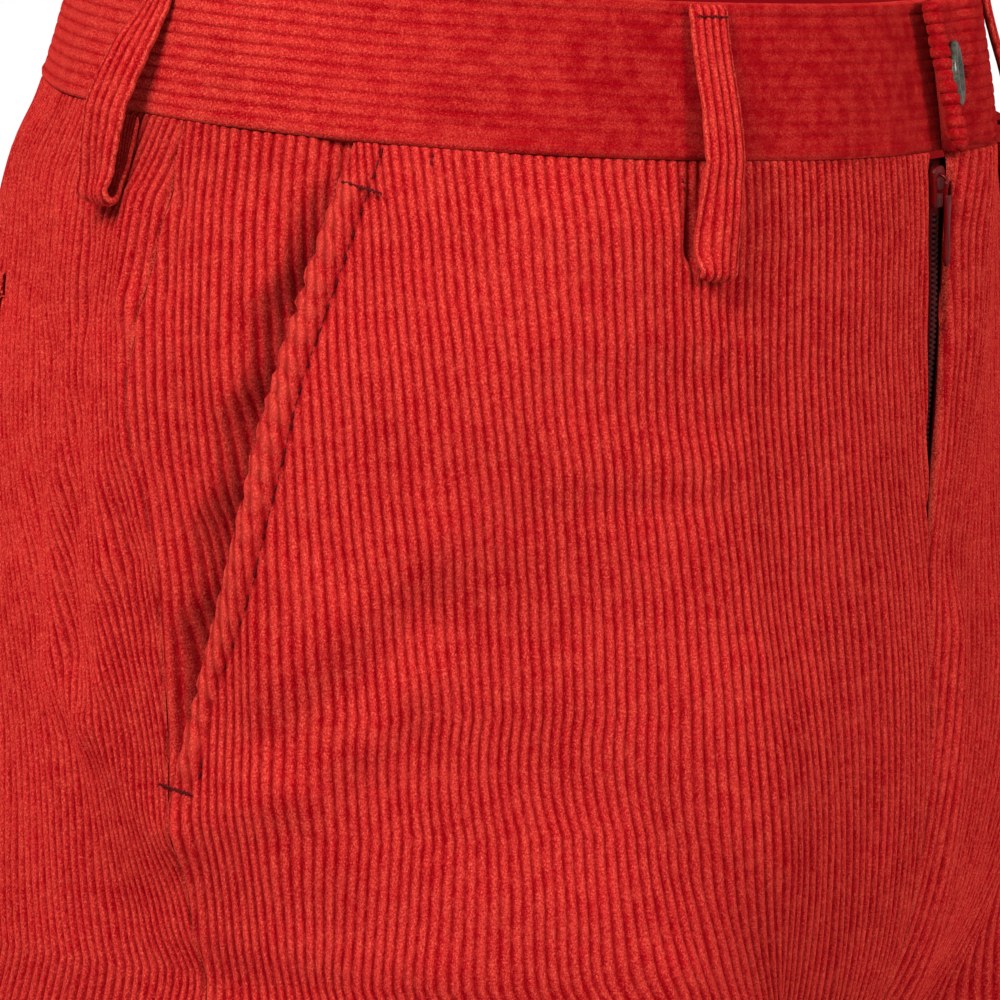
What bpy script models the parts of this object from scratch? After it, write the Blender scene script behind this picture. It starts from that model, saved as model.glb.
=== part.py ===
"""Corduroy trousers with a slanted front pocket, belt loops, a buttoned waistband tab and a zip fly.

The trousers keep the hollow shape in which they are worn. +Z is up, the front faces -Y, and the
wearer's left is +X. The origin is the centre of the waist seam, where the wearer holds them up.

Every cut piece lies on one base surface. A place on it is named by
    side    -1 for the wearer's right, +1 for the left,
    turn    0 at the centre front (the inseam's front, in the leg), 1 at the centre back,
    drop    how far below the waist seam it is,
    lift    how far outside the base surface it is.
"""

import math
from collections import namedtuple

import bmesh
import bpy
import numpy as np

# Driving sizes, in metres
CLOTH = 0.0016
BAND = 0.0030
BAND_HEIGHT = 0.038
BAND_PROUD = 0.0008  # the band covers the seam, so it stands this far outside the fronts
SEAM_GAP = 0.0003
LENGTH = 1.000  # from the waist seam to the hem, along the side
CROTCH_DROP = 0.266
RISE_START = 0.140  # the rise leaves the straight centre seam here
FRONT_RISE_POWER = 3.6
BACK_RISE_POWER = 2.3
RISE_SPREAD = 3.2
INNER_REACH = 0.27  # the share of a half round that follows the rise
WAIST_TILT = 0.086  # the waist sits lower in front
TILT_END = 0.200
HALF_ROUND = 0.470  # half of the hip's round, for sizes given as lengths along the cloth

# Half widths and depths of the trunk, and of each leg from the centre plane
Trunk = namedtuple("Trunk", "drop width front back")
TRUNK = (
    Trunk(-0.038, 0.150, 0.1145, 0.090),
    Trunk(0.000, 0.158, 0.1190, 0.104),
    Trunk(0.025, 0.163, 0.1190, 0.113),
    Trunk(0.055, 0.167, 0.1195, 0.121),
    Trunk(0.100, 0.170, 0.1205, 0.129),
    Trunk(0.150, 0.172, 0.1220, 0.135),
    Trunk(0.200, 0.174, 0.1210, 0.139),
    Trunk(0.260, 0.176, 0.1190, 0.140),
)
Leg = namedtuple("Leg", "drop inner outer front back")
LEG = (
    Leg(0.140, 0.0004, 0.172, 0.119, 0.128),
    Leg(0.240, 0.0004, 0.175, 0.116, 0.120),
    Leg(0.266, 0.0006, 0.176, 0.114, 0.117),
    Leg(0.310, 0.0060, 0.173, 0.109, 0.112),
    Leg(0.410, 0.0110, 0.169, 0.098, 0.102),
    Leg(0.560, 0.0190, 0.165, 0.081, 0.088),
    Leg(0.780, 0.0270, 0.162, 0.070, 0.080),
    Leg(1.000, 0.0330, 0.160, 0.063, 0.076),
)

# Lines across the fronts, as places on the base surface
Line = namedtuple("Line", "drop turn")
SIDE_SEAM = (
    Line(-0.038, 0.522),
    Line(0.000, 0.5275),
    Line(0.030, 0.5355),
    Line(0.066, 0.5455),
    Line(0.100, 0.5275),
    Line(0.150, 0.5095),
    Line(0.200, 0.4925),
    Line(0.260, 0.477),
    Line(0.400, 0.470),
    Line(0.560, 0.474),
    Line(1.000, 0.480),
)
POCKET_EDGE = (
    Line(0.000, 0.403),
    Line(0.023, 0.4206),
    Line(0.058, 0.4456),
    Line(0.080, 0.4594),
    Line(0.110, 0.4756),
    Line(0.145, 0.4960),
    Line(0.170, 0.5080),
)
POCKET_BOTTOM = 0.163
FACING_UNDER = 0.022  # how far the side piece reaches under the front's slanted edge
FACING_SINK = 0.0027

# The largest folds: soft ridges (height > 0) and troughs (height < 0) between two places
Fold = namedtuple("Fold", "turn drop end_turn end_drop width height")
RIGHT_FOLDS = (
    Fold(0.270, 0.015, 0.165, 0.150, 0.030, 0.0050),
    Fold(0.165, 0.150, 0.205, 0.400, 0.030, 0.0060),
    Fold(0.205, 0.400, 0.240, 0.900, 0.028, 0.0030),
    Fold(0.345, 0.055, 0.350, 0.062, 0.032, 0.0035),
    Fold(0.350, 0.095, 0.436, 0.127, 0.013, 0.0024),
    Fold(0.365, 0.130, 0.500, 0.163, 0.013, 0.0024),
    Fold(0.350, 0.115, 0.440, 0.145, 0.010, -0.0016),
    Fold(0.285, 0.108, 0.290, 0.114, 0.018, -0.0022),
    Fold(0.308, 0.160, 0.312, 0.170, 0.020, -0.0024),
    Fold(0.500, 0.193, 0.310, 0.206, 0.014, -0.0030),
    Fold(0.300, 0.186, 0.230, 0.190, 0.016, 0.0018),
    Fold(0.530, 0.055, 0.535, 0.064, 0.022, 0.0020),
    Fold(0.680, 0.045, 0.650, 0.060, 0.020, -0.0030),
    Fold(0.570, 0.105, 0.555, 0.142, 0.012, 0.0018),
    Fold(0.900, 0.275, 0.650, 0.235, 0.020, -0.0045),
    Fold(0.860, 0.300, 0.640, 0.275, 0.018, 0.0030),
    Fold(0.080, 0.300, 0.220, 0.275, 0.020, -0.0035),
    Fold(0.850, 0.540, 0.600, 0.565, 0.024, -0.0060),
    Fold(0.900, 0.500, 0.640, 0.520, 0.022, 0.0035),
    Fold(0.880, 0.595, 0.620, 0.610, 0.024, 0.0040),
    Fold(0.100, 0.620, 0.300, 0.600, 0.026, -0.0030),
    Fold(0.150, 0.930, 0.420, 0.950, 0.022, -0.0035),
    Fold(0.600, 0.900, 0.880, 0.925, 0.024, -0.0035),
)
LEFT_FOLDS = (
    Fold(0.250, 0.020, 0.175, 0.150, 0.030, 0.0045),
    Fold(0.175, 0.150, 0.215, 0.400, 0.030, 0.0055),
    Fold(0.215, 0.400, 0.235, 0.900, 0.028, 0.0030),
    Fold(0.335, 0.060, 0.345, 0.070, 0.032, 0.0035),
    Fold(0.340, 0.102, 0.445, 0.128, 0.014, 0.0024),
    Fold(0.350, 0.138, 0.490, 0.168, 0.014, 0.0022),
    Fold(0.340, 0.120, 0.430, 0.147, 0.011, -0.0016),
    Fold(0.295, 0.112, 0.300, 0.122, 0.020, -0.0022),
    Fold(0.480, 0.200, 0.300, 0.215, 0.015, -0.0028),
    Fold(0.540, 0.050, 0.545, 0.062, 0.022, 0.0020),
    Fold(0.670, 0.050, 0.645, 0.066, 0.020, -0.0028),
    Fold(0.890, 0.268, 0.660, 0.240, 0.020, -0.0042),
    Fold(0.850, 0.295, 0.650, 0.282, 0.018, 0.0030),
    Fold(0.090, 0.292, 0.230, 0.270, 0.020, -0.0035),
    Fold(0.840, 0.552, 0.610, 0.572, 0.024, -0.0058),
    Fold(0.890, 0.508, 0.650, 0.530, 0.022, 0.0035),
    Fold(0.870, 0.604, 0.630, 0.620, 0.024, 0.0038),
    Fold(0.110, 0.608, 0.310, 0.594, 0.026, -0.0030),
    Fold(0.160, 0.940, 0.400, 0.952, 0.022, -0.0035),
    Fold(0.610, 0.912, 0.860, 0.930, 0.024, -0.0032),
)

# The fly: the left front laps towards the right one, and stands open above the zip
Fly = namedtuple("Fly", "drop edge lift")
FLY = (
    Fly(0.000, 0.0066, 0.0032),
    Fly(0.013, 0.0064, 0.0031),
    Fly(0.030, 0.0055, 0.0024),
    Fly(0.047, 0.0040, 0.0018),
    Fly(0.063, 0.0024, 0.0013),
    Fly(0.080, 0.0010, 0.0007),
    Fly(0.096, 0.00015, 0.0000),
)
FLY_RELAX = 0.026  # the lift fades out over this width of the left front

# The waistband's end on the left, a buttoned tab over the right band's end
Tab = namedtuple("Tab", "arc lift")
TAB = (
    Tab(-0.0060, 0.0050),
    Tab(-0.0025, 0.0066),
    Tab(0.0010, 0.0040),
    Tab(0.0040, 0.0030),
    Tab(0.0180, 0.0030),
    Tab(0.0240, 0.0044),
    Tab(0.0340, 0.0048),
    Tab(0.0480, 0.0030),
    Tab(0.0660, 0.0008),
)
UNDERLAP = 0.024  # the right band's end reaches this far past the centre front
UNDERLAP_SINK = 0.0020
TAB_SLANT = 0.0030  # the tab's end leans this much from its top to its bottom
BUTTONHOLE_LENGTH = 0.017
BUTTONHOLE_HEIGHT = 0.0032
BUTTONHOLE_SHIFT = 0.0045  # the button sits near the hole's outer end

BUTTON_ARC = 0.0100
BUTTON_DROP = -0.0190
BUTTON_RADIUS = 0.0085
BUTTON_THICK = 0.0030
BUTTON_LIFT = 0.0036
THREAD_RADIUS = 0.0011

# Belt loops: where the top and bottom ends lie, and how far the middle stands off
Loop = namedtuple("Loop", "name side top_turn bottom_turn bottom stand_off")
LOOPS = (
    Loop("belt_loop_front_right", -1, 0.1865, 0.187, 0.0295, 0.0065),
    Loop("belt_loop_front_left", 1, 0.1865, 0.187, 0.0290, 0.0065),
    Loop("belt_loop_side_right", -1, 0.550, 0.578, 0.0235, 0.0062),
    Loop("belt_loop_side_left", 1, 0.556, 0.576, 0.0245, 0.0062),
    Loop("belt_loop_back", 1, 1.000, 1.000, 0.0270, 0.0064),
)
LOOP_WIDTH = 0.0102
LOOP_THICK = 0.0018
LOOP_END_THICK = 0.0034  # the ends are turned under
LOOP_TOP = -0.0370
LOOP_SEAT = 0.22  # the share of its length over which a loop leaves the cloth

# Back pockets: two narrow lips along a slightly sloping mouth
WELT_START = 0.705
WELT_END = 0.930
WELT_DROP = 0.0500
WELT_FALL = 0.0050
LIP_HEIGHT = 0.0052
LIP_THICK = 0.0012

# The zip, on the line of the closed fly
ZIP_CENTRE = 0.0020
ZIP_END = 0.160
ZIP_DIVE_START = 0.035
ZIP_DIVE_END = 0.085
ZIP_DIVE = 0.0027
TAPE_WIDTH = 0.0140
TAPE_THICK = 0.0010
CHAIN_HALF_WIDTH = 0.0017
CHAIN_THICK = 0.0020
CHAIN_LIFT = 0.0003
SLIDER_TOP = -0.0135
SLIDER_BOTTOM = -0.0242
SLIDER_FRONT = 0.1218  # how far in front of the origin the front plate's face is
FRONT_PLATE = 0.0016
BACK_PLATE = 0.0012
PLATE_HALF_WIDTH = 0.0034
POST_HALF_WIDTH = 0.0009
CHANNEL_DEPTH = 0.0046
CROWN_HALF_WIDTH = 0.0008
CROWN_HALF_HEIGHT = 0.0024
CROWN_DEPTH = 0.0024
CROWN_ROOT = 0.0008  # how far the crown is rooted in the front plate
PULL_PIVOT_DROP = 0.0180
PULL_PIVOT_FRONT = 0.1230
PULL_LENGTH = 0.0210
PULL_HALF_WIDTH = 0.0019
PULL_THICK = 0.0011
PULL_SLOT = 0.0032
PULL_TOP = 0.0006

TURN_GAP = SEAM_GAP / 2 / HALF_ROUND


def smooth(value, low, high):
    """0 below low, 1 above high, and a smooth step between them."""
    share = np.clip((value - low) / (high - low), 0, 1)
    return share * share * (3 - 2 * share)


def read(table, name, at, key="drop"):
    """Reads one column of a table at any place, along a smooth curve through its rows."""
    places = np.array([getattr(row, key) for row in table])
    values = np.array([getattr(row, name) for row in table])
    slopes = np.gradient(values, places)
    at = np.clip(at, places[0], places[-1])
    low = np.clip(np.searchsorted(places, at) - 1, 0, len(places) - 2)
    span = places[low + 1] - places[low]
    share = (at - places[low]) / span
    rise = values[low + 1] - values[low]
    start, end = slopes[low] * span, slopes[low + 1] * span
    bend = start * share * (1 - share) ** 2 - end * share**2 * (1 - share)
    return values[low] + rise * share * share * (3 - 2 * share) + bend


def trunk_point(side, turn, drop):
    angle = np.pi * turn
    front_share = (1 + np.cos(angle)) / 2
    depth = read(TRUNK, "front", drop) * front_share + read(TRUNK, "back", drop) * (1 - front_share)
    x = side * read(TRUNK, "width", drop) * np.sin(angle)
    y = -np.cos(angle) * depth
    z = -drop + WAIST_TILT * y * (1 - smooth(drop, 0, TILT_END))
    return np.stack(np.broadcast_arrays(x, y, z), axis=-1)


def leg_point(side, turn, drop):
    angle = np.pi - 2 * np.pi * turn
    inner, outer = read(LEG, "inner", drop), read(LEG, "outer", drop)
    depth = np.where(turn < 0.5, read(LEG, "front", drop), read(LEG, "back", drop))
    x = side * ((inner + outer) / 2 + (outer - inner) / 2 * np.cos(angle))
    y = -depth * np.sin(angle)
    return np.stack(np.broadcast_arrays(x, y, -drop), axis=-1)


def base_point(side, turn, drop):
    """The trunk passes into the leg: early along the outside, and along a J at the rise."""
    inner = 1 - smooth(turn, 0, INNER_REACH) + smooth(turn, 1 - INNER_REACH, 1)
    rise = CROTCH_DROP - RISE_START
    share = np.clip((drop - RISE_START) / rise, 0, 1)
    ahead = 1 - (1 - share) ** RISE_SPREAD
    power = np.where(turn < 0.5, FRONT_RISE_POWER, BACK_RISE_POWER)
    rise_blend = 1 - (1 - ahead**power) ** (1 / power)
    local_drop = drop + inner * rise * (ahead - share)
    blend = ((1 - inner) * smooth(share, 0, 1) + inner * rise_blend)[..., None]
    return (1 - blend) * trunk_point(side, turn, local_drop) + blend * leg_point(side, turn, local_drop)


def fold_height(side, turn, drop):
    """The sum of the folds at each place: every fold is a soft ridge along a short line."""
    height = np.zeros(np.broadcast(turn, drop).shape)
    for fold in RIGHT_FOLDS if side < 0 else LEFT_FOLDS:
        along = (fold.end_turn - fold.turn) * HALF_ROUND
        down = fold.end_drop - fold.drop
        across, below = (turn - fold.turn) * HALF_ROUND, drop - fold.drop
        share = np.clip((across * along + below * down) / (along**2 + down**2), 0, 1)
        distance = np.hypot(across - share * along, below - share * down)
        height = height + fold.height * np.exp(-((distance / fold.width) ** 2))
    return height * smooth(drop, 0, 0.02) * smooth(turn, 0, 0.07) * smooth(1 - turn, 0, 0.07)


def outward(side, turn, drop):
    """The base surface's outward direction."""
    step = 0.001
    across = base_point(side, turn + step, drop) - base_point(side, turn - step, drop)
    down = base_point(side, turn, drop + step) - base_point(side, turn, drop - step)
    normal = np.cross(across, down) * -side
    return normal / np.linalg.norm(normal, axis=-1, keepdims=True)


def surface_point(side, turn, drop, lift):
    turn, drop, lift = np.broadcast_arrays(turn, drop, lift)
    height = lift + fold_height(side, turn, drop)
    return base_point(side, turn, drop) + outward(side, turn, drop) * height[..., None]


def spread(count, edge=0.012):
    """Shares from 0 to 1 with a narrow strip at each end, which keeps a seam's edge true."""
    return np.concatenate(([0.0], np.linspace(edge, 1 - edge, count - 1), [1.0]))


def make_material(name, colour, roughness, metallic=0.0):
    material = bpy.data.materials.new(name)
    material.use_nodes = True
    shader = material.node_tree.nodes["Principled BSDF"]
    shader.inputs["Base Color"].default_value = (*colour, 1.0)
    shader.inputs["Roughness"].default_value = roughness
    shader.inputs["Metallic"].default_value = metallic
    return material


def add_object(name, data, material):
    piece = bpy.data.objects.new(name, data)
    data.materials.append(material)
    bpy.data.collections["corduroy trousers"].objects.link(piece)
    return piece


def sheet(name, points, thickness, material):
    """A cut piece: an open grid on the given outer points, with a wall turned inwards."""
    rows, columns = points.shape[:2]
    grid = bmesh.new()
    bmesh.ops.create_grid(grid, x_segments=columns - 1, y_segments=rows - 1, size=0.5)
    for vertex in grid.verts:
        column = round((vertex.co.x + 0.5) * (columns - 1))
        row = round((vertex.co.y + 0.5) * (rows - 1))
        vertex.co = points[row, column]
    mesh = bpy.data.meshes.new(name)
    grid.to_mesh(mesh)
    grid.free()
    mesh.shade_smooth()
    piece = add_object(name, mesh, material)
    wall = piece.modifiers.new("wall", "SOLIDIFY")
    wall.thickness = thickness
    wall.offset = -1
    wall.use_even_offset = True
    return piece


def cloth_panel(name, side, first, last, drops, lift, thickness, material, columns):
    """A piece between two lines. first, last and lift are functions of place on the surface."""
    drops = np.asarray(drops)[:, None]
    start, end = first(drops), last(drops)
    turns = start + (end - start) * spread(columns)[None, :]
    points = surface_point(side, turns, drops + 0 * turns, lift(turns, drops))
    if side < 0:
        points = points[:, ::-1]
    return sheet(name, points[::-1], thickness, material)


def side_seam(drops):
    return read(SIDE_SEAM, "turn", drops)


def front_edge(drops):
    """The slanted pocket mouth above, the side seam below it."""
    mouth = read(POCKET_EDGE, "turn", drops)
    return np.where(drops < POCKET_BOTTOM, np.minimum(mouth, side_seam(drops)), side_seam(drops)) - TURN_GAP


def flat(turns, drops):
    return 0 * turns + 0 * drops


def fly_lift(turns, drops):
    edge = read(FLY, "edge", drops) / HALF_ROUND
    fade = 1 - smooth((turns - edge) * HALF_ROUND, 0, FLY_RELAX)
    return read(FLY, "lift", drops) * fade


def facing_lift(turns, drops):
    """Under the front the side piece is sunk by a layer of cloth, and it comes up towards the seam."""
    past_edge = (turns - front_edge(drops)) * HALF_ROUND
    return -FACING_SINK * (1 - smooth(past_edge, 0.002, 0.016))


def panel_rows(start, end):
    """Rows that are close above the crotch, where the folds are, and open down the leg."""
    above = np.linspace(start, 0.242, 17)
    rise = (0.253, 0.261, CROTCH_DROP)
    below = (0.278, 0.298, 0.325, 0.365, 0.410, 0.460, 0.510, 0.545, 0.580, 0.615, 0.660, 0.730, 0.810, 0.890, 0.945)
    return np.concatenate((above, rise, below, [end]))


def make_body(cord):
    rows = panel_rows(0.0, LENGTH)
    for side, word in ((-1, "right"), (1, "left")):
        lapped = side > 0
        cloth_panel(
            f"front_{word}",
            side,
            (lambda d: read(FLY, "edge", d) / HALF_ROUND + TURN_GAP) if lapped else (lambda d: TURN_GAP + 0 * d),
            front_edge,
            rows,
            fly_lift if lapped else flat,
            CLOTH,
            cord,
            14 if lapped else 16,
        )
        cloth_panel(
            f"back_{word}",
            side,
            lambda d: side_seam(d) + TURN_GAP,
            lambda d: 1 - TURN_GAP + 0 * d,
            rows,
            flat,
            CLOTH,
            cord,
            13,
        )
        cloth_panel(
            f"side_facing_{word}",
            side,
            lambda d: front_edge(d) - FACING_UNDER / HALF_ROUND,
            lambda d: side_seam(d) - TURN_GAP,
            np.append(rows[rows < POCKET_BOTTOM - 0.005], POCKET_BOTTOM),
            facing_lift,
            CLOTH,
            cord,
            6,
        )


def band_lift_right(turns, drops):
    """The right band's end is pressed in under the tab."""
    arc = turns * HALF_ROUND
    return BAND_PROUD - UNDERLAP_SINK * (1 - smooth(arc, 0.004, 0.024)) + 0 * drops


def band_lift_left(turns, drops):
    return read(TAB, "lift", turns * HALF_ROUND, key="arc") + 0 * drops


def make_waistband(cord):
    rows = np.linspace(-BAND_HEIGHT, -SEAM_GAP, 4)
    tab_arcs = (-0.0060, -0.0040, -0.0020, 0.0, 0.0020, 0.0045, 0.0085, 0.0130, 0.0175, 0.0210, 0.0260, 0.0330)
    back_turn = 1 - TURN_GAP
    for side, word in ((-1, "right"), (1, "left")):
        if side < 0:
            turns = np.concatenate((
                np.linspace(-UNDERLAP, UNDERLAP, 7) / HALF_ROUND,
                np.linspace(0.075, 0.985, 26),
                [back_turn],
            ))
            lift = band_lift_right
            slant = 0.0
        else:
            turns = np.concatenate((np.array(tab_arcs) / HALF_ROUND, np.linspace(0.090, 0.985, 26), [back_turn]))
            lift = band_lift_left
            slant = TAB_SLANT / HALF_ROUND
        turns, drops = np.meshgrid(turns, rows)
        lean = slant * (drops + BAND_HEIGHT / 2) / BAND_HEIGHT * (1 - smooth(turns, 0, 0.05))
        points = surface_point(side, turns + lean, drops, lift(turns, drops))
        if side < 0:
            points = points[:, ::-1]
        band = sheet(f"waistband_{word}", points[::-1], BAND, cord)
        if side > 0:
            cut_buttonhole(band)


def place_on_band(arc, drop, lift):
    """A place near the centre front and the outward direction there."""
    turn, drop = np.array(arc / HALF_ROUND), np.array(drop)
    return surface_point(1, turn, drop, np.array(lift)), outward(1, turn, drop)


def guide_box(name, size, location, yaw=0.0):
    """A hidden box that cuts a piece or is joined to it."""
    mesh = bpy.data.meshes.new(name)
    box = bmesh.new()
    bmesh.ops.create_cube(box, size=1.0)
    bmesh.ops.scale(box, vec=size, verts=box.verts)
    box.to_mesh(mesh)
    box.free()
    guide = bpy.data.objects.new(name, mesh)
    bpy.data.collections["cutters"].objects.link(guide)
    guide.location = location
    guide.rotation_euler = (0, 0, yaw)
    guide.hide_render = True
    guide.display_type = "WIRE"
    return guide


def combine(piece, guide, operation):
    boolean = piece.modifiers.new(guide.name, "BOOLEAN")
    boolean.object = guide
    boolean.operation = operation


def cut_buttonhole(band):
    point, direction = place_on_band(BUTTON_ARC + BUTTONHOLE_SHIFT, BUTTON_DROP, 0.002)
    size = (BUTTONHOLE_LENGTH, 0.02, BUTTONHOLE_HEIGHT)
    yaw = math.atan2(direction[0], -direction[1])
    combine(band, guide_box("buttonhole_cutter", size, point, yaw), "DIFFERENCE")


def make_button(horn, thread):
    """A turned button with a raised rim, on a thread shank that stands on the right band's end."""
    point, direction = place_on_band(BUTTON_ARC, BUTTON_DROP, BUTTON_LIFT)
    yaw = math.atan2(direction[0], -direction[1])
    profile = (
        (0.0, 0.62 * BUTTON_THICK),
        (0.55 * BUTTON_RADIUS, 0.66 * BUTTON_THICK),
        (0.72 * BUTTON_RADIUS, 1.00 * BUTTON_THICK),
        (0.92 * BUTTON_RADIUS, 0.95 * BUTTON_THICK),
        (1.00 * BUTTON_RADIUS, 0.55 * BUTTON_THICK),
        (0.80 * BUTTON_RADIUS, 0.10 * BUTTON_THICK),
        (0.50 * BUTTON_RADIUS, 0.0),
        (0.0, 0.0),
    )
    mesh = bpy.data.meshes.new("waist_button")
    turned = bmesh.new()
    corners = [turned.verts.new((radius, 0, height)) for radius, height in profile]
    for start, end in zip(corners, corners[1:]):
        turned.edges.new((start, end))
    turned.to_mesh(mesh)
    turned.free()
    button = add_object("waist_button", mesh, horn)
    screw = button.modifiers.new("turned", "SCREW")
    screw.steps = 24
    screw.render_steps = 24
    screw.use_merge_vertices = True
    screw.merge_threshold = 0.00005
    button.location = point
    button.rotation_euler = (math.pi / 2, 0, yaw)

    arc_lift = BAND_PROUD - UNDERLAP_SINK * 0.79
    foot, _ = place_on_band(BUTTON_ARC, BUTTON_DROP, arc_lift + SEAM_GAP)
    length = BUTTON_LIFT - arc_lift - 2 * SEAM_GAP
    mesh = bpy.data.meshes.new("button_thread")
    shank = bmesh.new()
    bmesh.ops.create_cone(
        shank, cap_ends=True, segments=10, radius1=THREAD_RADIUS, radius2=THREAD_RADIUS, depth=length
    )
    shank.to_mesh(mesh)
    shank.free()
    stalk = add_object("button_thread", mesh, thread)
    stalk.location = foot + direction * length / 2
    stalk.rotation_euler = (math.pi / 2, 0, yaw)


def make_loops(cord):
    """Each loop is a strip from the band's top to below the seam, off the cloth in its middle."""
    shares = np.array((0.0, 0.05, 0.12, 0.20, 0.30, 0.42, 0.55, 0.68, 0.78, 0.86, 0.93, 1.0))[:, None]
    arch = smooth(shares, 0.03, LOOP_SEAT) * (1 - smooth(shares, 1 - LOOP_SEAT, 0.97))
    wall = LOOP_END_THICK + (LOOP_THICK - LOOP_END_THICK) * arch
    across = np.linspace(-0.5, 0.5, 3)[None, :] * LOOP_WIDTH / HALF_ROUND
    for loop in LOOPS:
        drops = LOOP_TOP + (loop.bottom - LOOP_TOP) * shares
        middle = loop.top_turn + (loop.bottom_turn - loop.top_turn) * shares
        seat = BAND_PROUD * (1 - smooth(drops, 0, 0.004)) + 2 * SEAM_GAP
        points = surface_point(loop.side, middle + across, drops, seat + loop.stand_off * arch + wall)
        if loop.side < 0:
            points = points[:, ::-1]
        strip = sheet(loop.name, points[::-1], LOOP_END_THICK, cord)
        group = strip.vertex_groups.new(name="wall")
        for index, weight in enumerate(np.repeat(wall[::-1, 0], 3) / LOOP_END_THICK):
            group.add([index], float(weight), "REPLACE")
        strip.modifiers["wall"].vertex_group = group.name


def make_welts(cord):
    """Two lips on each back, one above and one below the pocket's mouth."""
    turns = spread(9, 0.03)[None, :] * (WELT_END - WELT_START) + WELT_START
    for side, word in ((-1, "right"), (1, "left")):
        mouth = WELT_DROP + WELT_FALL * (turns - WELT_START) / (WELT_END - WELT_START)
        for offset, place in ((-1, "upper"), (1, "lower")):
            near, far = mouth + offset * SEAM_GAP, mouth + offset * (SEAM_GAP + LIP_HEIGHT)
            drops = np.sort(np.stack((near[0], (near[0] + far[0]) / 2, far[0])), axis=0)
            lift = LIP_THICK + 1.6 * SEAM_GAP
            points = surface_point(side, turns + 0 * drops, drops, lift)
            if side < 0:
                points = points[:, ::-1]
            sheet(f"back_welt_{place}_{word}", points[::-1], LIP_THICK, cord)


def zip_dive(drops):
    """Below the open stretch the zip sinks behind the lapped fronts."""
    return -ZIP_DIVE * smooth(drops, ZIP_DIVE_START, ZIP_DIVE_END)


def make_zip(tape, chain_paint, enamel):
    """Two tapes, the closed chain between them, a slider at its top and the slider's pull."""
    drops = np.concatenate((np.linspace(0.002, 0.016, 4), np.linspace(0.030, ZIP_END, 9)))[:, None]
    tape_lift = CHAIN_LIFT - CHAIN_THICK - SEAM_GAP + zip_dive(drops)
    for side, word in ((-1, "right"), (1, "left")):
        notch = np.where(drops < 0.017, POST_HALF_WIDTH + SEAM_GAP, SEAM_GAP / 2)
        near = ZIP_CENTRE + side * notch
        far = ZIP_CENTRE + side * TAPE_WIDTH
        left_arcs = np.sort(np.concatenate((near, (near + far) / 2, far + 0 * near), axis=1), axis=1)
        points = surface_point(1, left_arcs / HALF_ROUND, drops, tape_lift + 0 * left_arcs)
        sheet(f"zip_tape_{word}", points[::-1], TAPE_THICK, tape)

    drops = np.concatenate(([0.0148], np.linspace(0.030, ZIP_END - 0.004, 11)))[:, None]
    arcs = ZIP_CENTRE + CHAIN_HALF_WIDTH * np.array((-1.0, 1.0))[None, :]
    points = surface_point(1, arcs / HALF_ROUND, drops, CHAIN_LIFT + zip_dive(drops) + 0 * arcs)
    sheet("zip_chain", points[::-1], CHAIN_THICK, chain_paint)

    make_slider(enamel)
    make_pull(enamel)


def outline_solid(name, outline, thickness, material):
    """A flat outline with a thickness, as a filled 2D curve."""
    curve = bpy.data.curves.new(name, "CURVE")
    curve.dimensions = "2D"
    curve.fill_mode = "BOTH"
    curve.extrude = thickness / 2
    line = curve.splines.new("POLY")
    line.points.add(len(outline) - 1)
    for point, (x, y) in zip(line.points, outline):
        point.co = (x, y, 0, 1)
    line.use_cyclic_u = True
    piece = add_object(name, curve, material)
    weld = piece.modifiers.new("weld", "WELD")
    weld.merge_threshold = 0.00001
    return piece


def make_slider(enamel):
    """Front plate, post and back plate around the tapes, with the crown that holds the pull."""
    height = SLIDER_TOP - SLIDER_BOTTOM
    middle = (SLIDER_TOP + SLIDER_BOTTOM) / 2
    plate_width = 2 * PLATE_HALF_WIDTH
    mesh = bpy.data.meshes.new("zip_slider")
    plate = bmesh.new()
    bmesh.ops.create_cube(plate, size=1.0)
    bmesh.ops.scale(plate, vec=(plate_width, FRONT_PLATE, height), verts=plate.verts)
    plate.to_mesh(mesh)
    plate.free()
    slider = add_object("zip_slider", mesh, enamel)
    slider.location = (ZIP_CENTRE, -SLIDER_FRONT + FRONT_PLATE / 2, middle)

    back_start = FRONT_PLATE + CHANNEL_DEPTH
    blocks = (
        ("crown_block", 2 * CROWN_HALF_WIDTH, -CROWN_DEPTH, CROWN_ROOT, 2 * CROWN_HALF_HEIGHT, -PULL_PIVOT_DROP),
        ("post_block", 2 * POST_HALF_WIDTH, CROWN_ROOT, back_start + CROWN_ROOT, 0.8 * height, middle),
        ("back_block", 0.9 * plate_width, back_start, back_start + BACK_PLATE, 0.9 * height, middle),
    )
    for name, width, near, far, tall, z in blocks:
        place = (ZIP_CENTRE, -SLIDER_FRONT + (near + far) / 2, z)
        combine(slider, guide_box(name, (width, far - near, tall), place), "UNION")
    return slider


def make_pull(enamel):
    """A forked tab that hangs from the crown; its origin is on the pivot."""
    ear = CROWN_HALF_WIDTH + SEAM_GAP
    outline = (
        (ear, PULL_TOP),
        (PULL_HALF_WIDTH, PULL_TOP),
        (PULL_HALF_WIDTH, -PULL_LENGTH + 0.0012),
        (PULL_HALF_WIDTH - 0.0012, -PULL_LENGTH),
        (-PULL_HALF_WIDTH + 0.0012, -PULL_LENGTH),
        (-PULL_HALF_WIDTH, -PULL_LENGTH + 0.0012),
        (-PULL_HALF_WIDTH, PULL_TOP),
        (-ear, PULL_TOP),
        (-ear, -PULL_SLOT),
        (ear, -PULL_SLOT),
    )
    pull = outline_solid("zip_pull", outline, PULL_THICK, enamel)
    pull.location = (ZIP_CENTRE, -PULL_PIVOT_FRONT, -PULL_PIVOT_DROP)
    pull.rotation_euler = (math.pi / 2, 0, 0)
    return pull


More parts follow.
